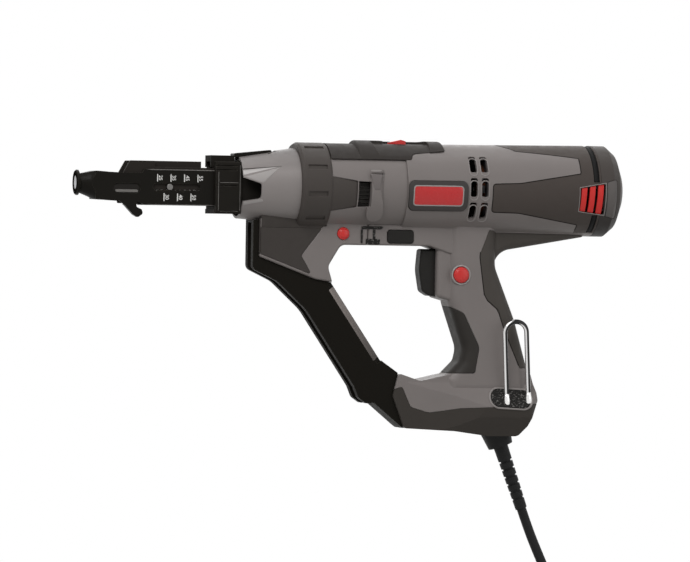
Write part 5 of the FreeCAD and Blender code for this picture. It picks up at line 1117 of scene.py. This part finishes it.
@dataclass
class Buttons(Assembly):
    """The two red push buttons' domes, and the bezel round the lock button."""

    lock: Flat = (286.2, -63.0)
    lock_face: float = -18.55
    lock_radius: float = 4.9
    release: Flat = (197.2, -34.0)
    release_face: float = -15.15
    release_radius: float = 3.6
    rise: float = 1.2
    sunk: float = 0.2
    bezel: Outline = ((0.3, 6.1), (-0.3, 6.15), (-0.6, 6.5), (-0.6, 7.0), (0.3, 7.6))

    def dome(self, centre: Flat, face: float, radius: float) -> Array:
        """A dome: a quarter wave from its rim to its crown, closed along its axis and carried round it.

        Args:
            centre: The button's x and z.
            face: The button's face.
            radius: The dome's radius.

        Returns:
            The dome's points.
        """
        turn = np.linspace(0.0, 1.0, 9) * math.pi / 2
        crown = np.stack([face - self.rise * np.sin(turn), radius * np.cos(turn)], axis=-1)
        foot = [[face + self.sunk, 0.0], [face + self.sunk, radius]]
        return turned(np.vstack([foot, crown]), Axis.ACROSS, centre)

    def pieces(self) -> Iterator[Made]:
        """Make the bezel on the handle and the domes on their buttons.

        Yields:
            Each piece with its finish and the name of its body.
        """
        bezel = np.array(self.bezel) + np.array([HANDLE_SIDE, 0.0])
        yield make_piece("lock_bezel", [turned(bezel, Axis.ACROSS, self.lock)]), PALE_TRIM, HOUSING
        lock = self.dome(self.lock, self.lock_face, self.lock_radius)
        yield make_piece("lock_dome", [lock]), RED_PLASTIC, "lock"
        release = self.dome(self.release, self.release_face, self.release_radius)
        yield make_piece("release_dome", [release]), RED_PLASTIC, "release"


@dataclass
class HookMount(Assembly):
    """Where the belt hook stands: a rough pad with a rim lighter as painted highlight, and a bright foot
    round each leg.
    """

    pad: Flat = (324.6, -153.2)
    half: Flat = (15.4, 6.8)
    corner: float = 6.6
    rim: float = 1.2
    rim_corner: float = 7.6
    lean: float = -3.0
    base: float = -0.8
    leg: Triple = (322.0, -20.2, -162.0)
    leg_way: Triple = (-4.4, -6.0, 57.0)
    leg_apart: float = 16.6
    foot_reach: tuple[float, ...] = (4.0, 5.0, 8.0, 10.5, 12.5)
    foot_radii: tuple[float, ...] = (2.3, 2.5, 2.4, 2.05, 1.85)

    def pieces(self) -> Iterator[Made]:
        """Make the pad, its rim and the feet, on the base.

        Yields:
            Each piece with its finish and the name of its body.
        """
        pad = SidePlate(base_side, self.pad, self.half, self.corner, self.lean)
        yield pad.plate("hook_pad", edge=0.5, top=0.35, base=self.base), PAD_BLACK, HOUSING
        # The pad's rim is lighter than the shell: painted highlight.
        outer = (self.half[0] + self.rim, self.half[1] + self.rim)
        rim = SidePlate(base_side, self.pad, outer, self.rim_corner, self.lean)
        loops = rim.frame(self.rim + LAP, edge=0.45, top=0.75, base=self.base)
        yield make_piece("hook_pad_rim", [loops]), RIM_HIGHLIGHT, HOUSING
        way = np.array(self.leg_way) / np.linalg.norm(self.leg_way)
        across = np.array([way[2], 0.0, -way[0]]) / math.hypot(way[0], way[2])
        starts = [np.array(self.leg) + across * step for step in (0.0, self.leg_apart)]
        reach, radii = np.array(self.foot_reach), np.array(self.foot_radii)
        feet = [closed_ends(sleeve(start, way, reach, radii)) for start in starts]
        yield make_piece("hook_feet", feet), BRIGHT_WIRE, HOUSING


@dataclass
class FrontTrim(Assembly):
    """Trim of the front housing: catch partly in painted shade, pillar panel with edges in painted highlight,
    cone facets in painted highlight and sheen, the guide's edges in painted highlight, leg edges, and the
    arm's edge in painted reflection.
    """

    chin: FlatSide = FlatSide(-14.5)
    # Bars of the catch: the top bar is painted shadow under the pillar; the rest are partly painted shade in
    # its gaps, partly its own dark parts.
    catch: tuple[Box, ...] = (
        (210.8, 227.0, -30.6, -28.4), (219.3, 221.3, -38.0, -30.4), (214.2, 224.8, -41.6, -37.6),
        (210.4, 211.7, -41.0, -30.4),
    )
    panel: Outline = ((211.9, 9.6), (221.0, 9.2), (219.6, -1.9), (215.2, -2.0))
    panel_top: Box = (212.6, 223.2, 11.3, 12.5)
    panel_side: Box = (221.9, 222.9, 4.3, 10.7)
    panel_lean: float = -14.0
    # Outlines of the cone's painted highlight and painted sheen.
    facet: Outline = ((120.3, 7.2), (148.0, 14.0), (120.3, 11.2))
    wing: Outline = ((121.2, 6.0), (146.5, 13.0), (134.2, 1.9), (131.0, 2.4))
    brow: Outline = ((120.6, -12.2), (133.8, -9.9), (134.6, -11.6), (120.6, -14.4))
    guide: FlatSide = FlatSide(-15.0)
    # Painted highlight lines on the guide block's edges.
    guide_highlights: tuple[Box, ...] = (
        (102.8, 103.2, -19.4, 10.0), (118.8, 119.2, -19.4, 15.0), (103.6, 118.4, 1.4, 1.75),
        (103.6, 118.4, -19.3, -19.0),
    )
    leg: FlatSide = FlatSide(-14.0)
    leg_head: Outline = ((135.6, -30.4), (135.6, -20.0), (188.4, -20.0), (181.0, -30.4))
    leg_round: Flat = (136.0, -12.5)
    leg_radius: float = 1.5
    leg_wrap: float = 57.0
    leg_foot: float = -11.65
    leg_heights: Flat = (-24.0, -50.0)
    leg_lift: float = 0.06
    leg_depth: float = 0.2
    arm_from: Flat = (190.0, -69.7)
    arm_to: Flat = (228.3, -126.5)
    arm_side: float = 11.5
    arm_bevel: float = 4.0
    arm_run: Flat = (0.05, 0.95)
    arm_steps: int = 25
    arm_over: tuple[float, ...] = (-0.3, -0.3, 0.0, 0.9, 0.9, 0.0)
    arm_lift: tuple[float, ...] = (-0.15, 0.1, 0.1, 0.1, -0.15, -0.15)

    def arm_edge(self, side: float) -> Array:
        """A thin strip of painted reflection on the bevel along the arm's inner edge: a flat section carried
        down the edge.

        Args:
            side: Minus one on the left, one on the right.

        Returns:
            The strip's points, section by section.
        """
        begin, end = (np.array([x, 0.0, z]) for x, z in (self.arm_from, self.arm_to))
        run = end - begin
        out = np.array([-run[2], 0.0, run[0]]) / np.linalg.norm(run)
        across = np.array([0.0, side, 0.0])
        share = np.linspace(*self.arm_run, self.arm_steps)[:, None, None]
        over = np.array(self.arm_over)[:, None] * self.arm_bevel
        lift = np.array(self.arm_lift)[:, None] * (out + across)
        section = out * (over - self.arm_bevel) + across * (self.arm_side - np.maximum(over, 0.0)) + lift
        return closed_ends(begin + run * share + section)

    def leg_edge(self, side: float) -> Array:
        """A thin strip round the leg's rounded front edge: an arc and a straight part, carried down the edge.

        Args:
            side: One on the left, minus one on the right.

        Returns:
            The strip's points, section by section.
        """
        angle = np.radians(np.linspace(self.leg_wrap, 0.0, 6))
        way = np.stack([np.cos(angle), np.sin(angle)], axis=-1)
        reaches = (self.leg_radius + self.leg_lift, self.leg_radius - self.leg_depth)
        outer, inner = (np.array(self.leg_round) - way * reach for reach in reaches)
        foot = np.array([[outer[-1, 0], self.leg_foot], [inner[-1, 0], self.leg_foot]])
        loop = np.vstack([outer, foot, inner[::-1]]) * np.array([1.0, side])
        heights = np.linspace(*self.leg_heights, 12)[:, None]
        x, y, z = np.broadcast_arrays(loop[:, 0], loop[:, 1], heights)
        return closed_ends(np.stack([x, y, z], axis=-1))

    def pieces(self) -> Iterator[Made]:
        """Make each piece on the housing.

        Yields:
            Each piece with its finish and the name of its body.
        """
        # The top bar is painted shadow under the pillar; the others are partly painted shade in the catch's
        # gaps, partly its dark parts.
        catch = [bar(self.chin, one) for one in self.catch]
        yield thin_plates("pillar_catch", catch, top=0.25, base=-0.6), PAD_BLACK, HOUSING
        panel = Facet(pillar_side, corners=self.panel)
        yield panel.plate("pillar_panel", edge=0.3, top=0.2, base=-0.5), PANEL_GREY, HOUSING
        # Pale edges of the pillar's panel: painted highlight.
        edges = [bar(pillar_side, self.panel_top), bar(pillar_side, self.panel_side, self.panel_lean)]
        yield thin_plates("pillar_edges", edges, top=0.25, base=-0.6), RIM_HIGHLIGHT, HOUSING
        # Painted highlight on the cone's facet, and painted sheen on its wing and brow.
        facet = Facet(CONE_FLOOR, corners=self.facet)
        yield facet.plate("cone_facet_highlight", edge=0.2, top=0.12, base=-0.3), CONE_FACET_HIGHLIGHT, HOUSING
        for name, outline in (("cone_wing", self.wing), ("cone_brow", self.brow)):
            sheen = Facet(CONE_SKIN, corners=outline)
            yield sheen.plate(name, edge=0.2, top=0.1, base=-0.3), CONE_PAINTED_SHEEN, HOUSING
        # Painted highlight lines on the guide block's edges.
        guide = [bar(self.guide, one) for one in self.guide_highlights]
        yield thin_plates("guide_highlights", guide, top=0.05, base=-0.2), PAINTED_HIGHLIGHT, HOUSING
        yield make_piece("leg_edges", [self.leg_edge(1.0), self.leg_edge(-1.0)]), LEG_PANEL, HOUSING
        head = Facet(self.leg, corners=self.leg_head)
        yield head.plate("leg_head", edge=0.1, top=0.05, base=-0.3), LEG_PANEL, HOUSING
        # Painted reflection on the arm's bevels, darker towards the foot as painted shade.
        strips = [self.arm_edge(-1.0), self.arm_edge(1.0)]
        yield make_piece("arm_edge_highlights", strips, smooth=False), ARM_EDGE_HIGHLIGHT, HOUSING


@dataclass
class NoseTrim(Assembly):
    """Trim of the nosepiece: bore liner, lip face, its recess's floor painted lighter as painted light and
    its lip in painted highlight, and its plate's edges in painted highlight.
    """

    liner: Box = (0.25, 13.0, 4.5, 4.97)
    lip_face: Box = (-0.05, 0.3, 5.02, 8.5)
    floor: FlatSide = FlatSide(-9.7)
    recess: Flat = (36.0, -3.45)
    recess_half: Flat = (9.8, 3.25)
    recess_corner: float = 3.1
    lip_half: float = 8.4
    lip_heights: Flat = (0.2, 2.2)
    plate: FlatSide = FlatSide(-10.6)
    # Painted highlight lines along the plate's top and bottom edges.
    plate_highlights: tuple[Box, ...] = ((50.0, 103.0, 9.8, 10.4), (50.0, 103.0, -15.3, -14.9))

    def pieces(self) -> Iterator[Made]:
        """Make each piece on the nosepiece.

        Yields:
            Each piece with its finish and the name of its body.
        """
        yield make_piece("bore_liner", [turned(ring_outline(*self.liner), Axis.ALONG)]), STEEL, NOSE
        yield make_piece("lip_face", [turned(ring_outline(*self.lip_face), Axis.ALONG)]), LIP_BLACK, NOSE
        # The recess floor is painted lighter than the black plastic: painted light.
        bed = SidePlate(self.floor, self.recess, self.recess_half, self.recess_corner)
        yield bed.plate("recess_floor", edge=0.2, top=0.1, base=-0.2), SLOT_FLOOR, NOSE
        # The recess's lower lip in painted highlight.
        middle, foot = self.recess[0], self.recess[1] - self.recess_half[1]
        low, high = (foot + height for height in self.lip_heights)
        lip = bar(self.floor, (middle - self.lip_half, middle + self.lip_half, low, high))
        yield thin_plates("recess_lip_highlight", [lip], top=0.5, base=0.0), PAINTED_HIGHLIGHT, NOSE
        # Painted highlight lines along the plate's top and bottom edges.
        edges = [bar(self.plate, one) for one in self.plate_highlights]
        yield thin_plates("plate_highlights", edges, top=0.06, base=-0.2), PAINTED_HIGHLIGHT, NOSE


@dataclass
class TailTrim(Assembly):
    """Trim of the motor barrel: rims of cooling slots and tail vents, lighter as painted highlight, and the
    dark band round the tail.
    """

    slot_stations: tuple[float, ...] = (290.8, 299.2)
    slot_angles: tuple[float, ...] = (-30.0, 2.0, 34.0)
    slot_half: Flat = (2.6, 6.8)
    rim: float = 0.8
    vent: Outline = ((371.0, 2.5), (391.6, 6.2), (391.6, -18.2), (371.0, -15.5))
    vent_rim: float = 0.7
    band: Box = (382.3, 386.3, 32.2, 33.0)
    band_spans: Outline = ((11.4, 168.6), (213.6, 326.4))

    def pieces(self) -> Iterator[Made]:
        """Make the rims on both sides and the band's two arcs.

        Yields:
            Each piece with its finish and the name of its body.
        """
        half = (self.slot_half[0] + self.rim, self.slot_half[1] + self.rim)
        slots = [
            BarrelSlot(barrel_side, (x, angle), half, half[0] - LAP, mirror=mirror)
            for x in self.slot_stations for angle in self.slot_angles for mirror in (False, True)
        ]
        # The slot rims are lighter than the shell: painted highlight.
        rims = [slot.frame(self.rim, edge=0.3, top=0.25, base=-0.4) for slot in slots]
        yield make_piece("slot_rims", rims), RIM_HIGHLIGHT, HOUSING
        # The vent rims are lighter than the shell: painted highlight.
        vents = [Facet(barrel_side, corners=self.vent, mirror=mirror) for mirror in (False, True)]
        rims = [vent.frame(self.vent_rim, edge=0.25, top=0.25, base=-0.5) for vent in vents]
        yield make_piece("vent_rims", rims), RIM_HIGHLIGHT, HOUSING
        band = ring_outline(*self.band)
        arcs = [closed_ends(turned(band, Axis.ALONG, span=span)) for span in self.band_spans]
        yield make_piece("tail_band", arcs), TAIL_BLACK, HOUSING


@dataclass
class SeamLines(Assembly):
    """Dark seams where the soft overmoulds meet the shell: along the barrel, over it and down the handle."""

    side: Outline = (
        (372.6, 23.2), (372.6, 12.4), (326.0, 4.6), (307.0, 3.85), (305.6, 3.2), (305.1, 1.8), (305.1, -14.8),
        (305.6, -16.2), (307.0, -16.8), (326.0, -17.2), (372.6, -25.1), (372.6, -29.0),
    )
    top: Outline = ((315.1, 0.0), (315.1, -6.2), (316.2, -8.0), (326.0, -17.0), (372.6, -23.6))
    handle: Outline = (
        (300.6, -46.0), (300.3, -50.0), (304.0, -77.0), (306.5, -81.5), (313.6, -87.5), (315.6, -91.0),
        (319.3, -102.0), (331.2, -129.0),
    )
    half_wide: float = 0.35
    lift: float = 0.06
    depth: float = 0.3
    count: int = 120

    def ribbon(self, line: Array, out: Array) -> Array:
        """A thin closed strip on a surface: a flat section carried along a line.

        Args:
            line: Points on the surface.
            out: The surface's outward way at each point.

        Returns:
            The strip's points, section by section.
        """
        out = out / np.linalg.norm(out, axis=-1, keepdims=True)
        across = np.cross(np.gradient(line, axis=0), out)
        across = across / np.linalg.norm(across, axis=-1, keepdims=True)
        wide = np.array([-1.0, 1.0, 1.0, -1.0])[:, None] * self.half_wide
        high = np.array([-self.depth, -self.depth, self.lift, self.lift])[:, None]
        return closed_ends(line[:, None] + wide * across[:, None] + high * out[:, None])

    def pieces(self) -> Iterator[Made]:
        """Make the seams on both sides as one piece on the housing.

        Yields:
            Each piece with its finish and the name of its body.
        """
        lines = (np.array(corners) for corners in (self.side, self.top, self.handle))
        side, top, handle = (spread_evenly(line, self.count, closed=False) for line in lines)
        round_lines = [
            np.stack([side[:, 0], barrel_side(side), side[:, 1]], axis=-1),
            np.stack([top[:, 0], top[:, 1], barrel_reach(top)], axis=-1),
        ]
        strips = [self.ribbon(line, line * np.array([0.0, 1.0, 1.0])) for line in round_lines]
        flat = np.stack([handle[:, 0], np.full(self.count, HANDLE_SIDE), handle[:, 1]], axis=-1)
        strips.append(self.ribbon(flat, np.broadcast_to([0.0, -1.0, 0.0], flat.shape)))
        both = strips + [strip * np.array([1.0, -1.0, 1.0]) for strip in strips]
        yield make_piece("seam_lines", both, smooth=False), SEAM_DARK, HOUSING


@dataclass(frozen=True)
class CoilSpring:
    """A compression spring: a coil from its free end to its fixed end, in place of its node."""

    node: str
    body: str
    joint: str
    free_end: float
    fixed_end: float
    radius: float
    turns: int
    travel: float
    wire: float = 0.5
    clear: float = 0.1
    turn_steps: int = 32
    wire_points: int = 12

    def coil(self) -> Array:
        """The wire's surface: a circle beside the spindle line, carried round it and along it.

        Returns:
            Points, circle by circle, with both ends closed.
        """
        low = self.free_end + self.wire + self.clear
        high = self.fixed_end - self.wire - self.clear
        share = np.linspace(0.0, 1.0, self.turns * self.turn_steps + 1)[:, None]
        turn = 2 * math.pi * self.turns * share
        angle = np.linspace(0.0, 2 * math.pi, self.wire_points, endpoint=False)
        radius = self.radius + self.wire * np.cos(angle)
        x = low + (high - low) * share + self.wire * np.sin(angle)
        return closed_ends(np.stack([x, radius * np.cos(turn), radius * np.sin(turn)], axis=-1))

    def build(self, paint: Paintbox) -> None:
        """Make the coil in place of its node, on its own mesh.

        Args:
            paint: The materials.
        """
        piece = make_piece(self.node + "_coil", [self.coil()])
        paint.fit(piece, STEEL, self.body)
        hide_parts(self.node)
        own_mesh(piece)


RETURN_SPRING = CoilSpring("return_spring", HOUSING, "feed_stroke", 140.0, 184.0, 8.1, 5, 38.0)
CLUTCH_SPRING = CoilSpring("clutch_spring", "carrier", "spindle_press", 221.6, 228.8, 8.4, 2, 4.5)


@dataclass
class Cord:
    """The mains cord: a lead from the guard, a tied coil and a short tail to the plug."""

    diameter: float = 7.0
    exit_place: Triple = (320.6, 0.0, -181.0)
    tilt: float = 20.0
    guard: float = 57.0
    lead: tuple[Triple, ...] = (
        (5.8, 0.0, -16.0), (12.0, -3.5, -32.5), (19.0, -8.0, -50.5), (25.0, -11.4, -68.0),
        (26.35, -12.3, -86.5), (26.35, -12.3, -103.5),
    )
    tail: tuple[Triple, ...] = (
        (0.0, 0.0, -12.0), (3.7, 0.0, -26.0), (10.5, 0.0, -39.0), (14.2, 0.0, -53.5), (14.2, 0.0, -66.0),
    )
    inner: float = 30.0
    pitch: float = 8.7
    layer: float = 8.4
    layers: int = 4
    layer_turns: float = 1.875
    climb_turns: float = 0.5
    per_turn: int = 16

    def start(self) -> Array:
        """Where the cord leaves its guard."""
        way = np.array([math.sin(math.radians(self.tilt)), 0.0, -math.cos(math.radians(self.tilt))])
        return np.array(self.exit_place) + way * self.guard

    def coil(self, begin: Array) -> Array:
        """The coil's points: the radius runs in and out a layer at a time, and y climbs between layers.

        Args:
            begin: The point one diameter above the first turn.

        Returns:
            Points along the coil, sixteen for each turn.
        """
        outer = self.inner + self.pitch * self.layer_turns
        total = self.layers * self.layer_turns + (self.layers - 1) * self.climb_turns
        turns = np.linspace(0.0, total, int(total * self.per_turn) + 1)
        span = self.layer_turns + self.climb_turns
        number = np.minimum((turns / span).astype(int), self.layers - 1)
        done = turns - number * span
        grown = (outer - self.inner) * np.minimum(done / self.layer_turns, 1.0)
        radius = np.where(number % 2 == 0, outer - grown, self.inner + grown)
        climb = np.clip((done - self.layer_turns) / self.climb_turns, 0.0, 1.0)
        height = (number + (1 - np.cos(math.pi * climb)) / 2) * self.layer
        centre = begin + np.array([-outer, 0.0, -self.diameter])
        angle = -2 * math.pi * turns
        return centre + np.stack([radius * np.cos(angle), height, radius * np.sin(angle)], axis=-1)

    def route(self) -> Array:
        """The whole route: lead, coil and tail, each from where the last ended.

        Returns:
            Points along the cord.
        """
        start = self.start()
        lead = np.vstack([start, start + np.array(self.lead)])
        coil = self.coil(lead[-1])
        foot = coil[-1] - np.array([0.0, 0.0, self.diameter])
        tail = np.vstack([foot, foot + np.array(self.tail)])
        return np.vstack([lead, coil, tail])

    def build(self, paint: Paintbox, nodes: dict[str, Piece]) -> None:
        """Args:
            paint: The materials.
            nodes: The frame's nodes by name; not used.
        """
        points = row(self.route())
        curve = bpy.data.curves.new("mains_cord", "CURVE")
        curve.dimensions = "3D"
        curve.bevel_depth = self.diameter / 2 * MM
        curve.bevel_resolution = 5
        curve.resolution_u = 6
        curve.use_fill_caps = True
        spline = curve.splines.new("NURBS")
        spline.points.add(len(points) - 1)
        spline.points.foreach_set("co", np.hstack([points, np.ones((len(points), 1))]).ravel())
        spline.order_u = 3
        spline.use_endpoint_u = True
        cord = new_object("mains_cord", curve)
        paint.fit(cord, CORD_RUBBER, HOUSING)
        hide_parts("cord_lead", "cord_coil", "cord_tail")


@dataclass(frozen=True)
class Lamp:
    """A square soft lamp that faces the tool: its place and side in metres, and its power in watts."""

    name: str
    place: Triple
    size: float
    power: float
    aim: Triple = (-0.05, 0.0, 0.03)

    def build(self) -> None:
        """Put the lamp in its place and turn it to the tool."""
        data = bpy.data.lights.new(self.name, "AREA")
        data.size = self.size
        data.energy = self.power
        lamp = new_object(self.name, data)
        lamp.location = self.place
        lamp.rotation_mode = "QUATERNION"
        lamp.rotation_quaternion = (Vector(self.aim) - Vector(self.place)).to_track_quat("-Z", "Y")


@dataclass
class Studio:
    """The camera at the photograph's angle, the lamps, and a plain white floor and surround."""

    yaw: float = -15.05
    rise: float = 0.6
    roll: float = 0.9
    distance: float = 4.0
    mm_per_pixel: float = 0.731
    width: int = 690
    aim: Triple = (202.8, 0.0, -68.7)
    lamps: tuple[Lamp, ...] = (
        Lamp("key", (-1.1, -1.5, 1.7), 1.3, 31.0),
        Lamp("fill", (1.4, -1.6, 0.5), 1.6, 7.0),
        Lamp("top", (0.1, 0.3, 1.9), 1.4, 9.0),
        Lamp("back", (0.4, 1.8, 1.0), 1.4, 6.0),
    )
    dim: float = 0.2
    floor_z: float = -520.0
    floor_sides: Outline = ((-3000.0, -3000.0), (3600.0, -3000.0), (3600.0, 3000.0), (-3000.0, 3000.0))
    floor_glow: float = 0.62

    def camera(self) -> None:
        """Place the camera: it looks at the frame's middle from the yaw, rise and roll of the photograph."""
        data = bpy.data.cameras.new("camera")
        data.sensor_width = 36.0
        data.lens = data.sensor_width * self.distance / (self.width * self.mm_per_pixel * MM)
        data.clip_end = 100.0
        camera = new_object("camera", data)
        yaw, rise = math.radians(self.yaw), math.radians(self.rise)
        back = Vector((math.sin(yaw) * math.cos(rise), -math.cos(yaw) * math.cos(rise), math.sin(rise)))
        roll = Matrix.Rotation(math.radians(self.roll), 4, "Z")
        turn = (-back).to_track_quat("-Z", "Y").to_matrix().to_4x4() @ roll
        place = Vector(row(np.array(self.aim))) + back * self.distance
        camera.matrix_world = Matrix.Translation(place) @ turn
        bpy.context.scene.camera = camera

    @staticmethod
    def seen(tree: NodeTree) -> Socket:
        """A factor that is 1 for what the camera sees, straight or in a mirror or through glass.

        Args:
            tree: The nodes to add to.

        Returns:
            The factor's socket.
        """
        path = tree.node("ShaderNodeLightPath").outputs
        value = path["Is Camera Ray"]
        for name in ("Is Glossy Ray", "Is Transmission Ray"):
            value = tree.node("ShaderNodeMath", {0: value, 1: path[name]}, operation="MAXIMUM").outputs[0]
        return value

    def surround(self) -> None:
        """A white world for what is seen and a dimmer one for light."""
        world = bpy.data.worlds.new("surround")
        bpy.context.scene.world = world
        tree = NodeTree(world)
        tree.tree.nodes.clear()
        light, sight = (
            tree.node("ShaderNodeBackground", {"Color": WHITE, "Strength": strength}).outputs[0]
            for strength in (self.dim, 1.0)
        )
        mix = tree.node("ShaderNodeMixShader", {"Fac": self.seen(tree), 1: light, 2: sight})
        tree.node("ShaderNodeOutputWorld", {"Surface": mix.outputs[0]})

    def floor(self) -> None:
        """A wide white floor under the hanging tool."""
        points = np.hstack([np.array(self.floor_sides), np.full((4, 1), self.floor_z)])
        mesh = bpy.data.meshes.new("floor")
        mesh.from_pydata(row(points).tolist(), [], [[0, 1, 2, 3]])
        floor = new_object("floor", mesh)
        material = bpy.data.materials.new("floor_white")
        tree = NodeTree(material)
        tree.feed(tree.shader, {
            "Base Color": (0.5, 0.5, 0.49, 1.0),
            "Roughness": 0.9,
            "Emission Color": WHITE,
            "Emission Strength": tree.times(self.seen(tree), self.floor_glow),
        })
        mesh.materials.append(material)
        floor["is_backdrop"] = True

    def build(self) -> None:
        """Set the camera, lamps, surround and floor."""
        self.camera()
        for lamp in self.lamps:
            lamp.build()
        self.surround()
        self.floor()
        bpy.context.scene.view_settings.view_transform = "Standard"


@dataclass
class Screwdriver:
    """The whole tool: the frame's nodes in their finishes, and the pieces added to them."""

    paint: Paintbox = field(default_factory=Paintbox)
    cord: Cord = field(default_factory=Cord)

    def build(self, nodes: dict[str, Piece]) -> None:
        """Dress the nodes, then add each piece.

        Args:
            nodes: The frame's nodes by name.
        """
        self.paint.dress_nodes(nodes)
        self.cord.build(self.paint, nodes)
        for assembly in (
            Badge(), LengthScale(), Buttons(), HookMount(), FrontTrim(), NoseTrim(), TailTrim(), SeamLines(),
            RETURN_SPRING, CLUTCH_SPRING,
        ):
            assembly.build(self.paint)


def corners(box: tuple) -> list[list[float]]:
    """The two corners of a box as plain lists of numbers."""
    return [[float(value) for value in corner] for corner in box]


def main() -> None:
    """Load the frame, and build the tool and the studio."""
    logging.basicConfig(level=logging.INFO)
    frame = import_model()
    solid_box = corners(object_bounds())
    Studio().build()
    Screwdriver().build(frame["nodes"])
    bpy.context.view_layer.update()
    {"cad": solid_box, "visual": corners(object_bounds())}


if __name__ == "__main__":
    main()
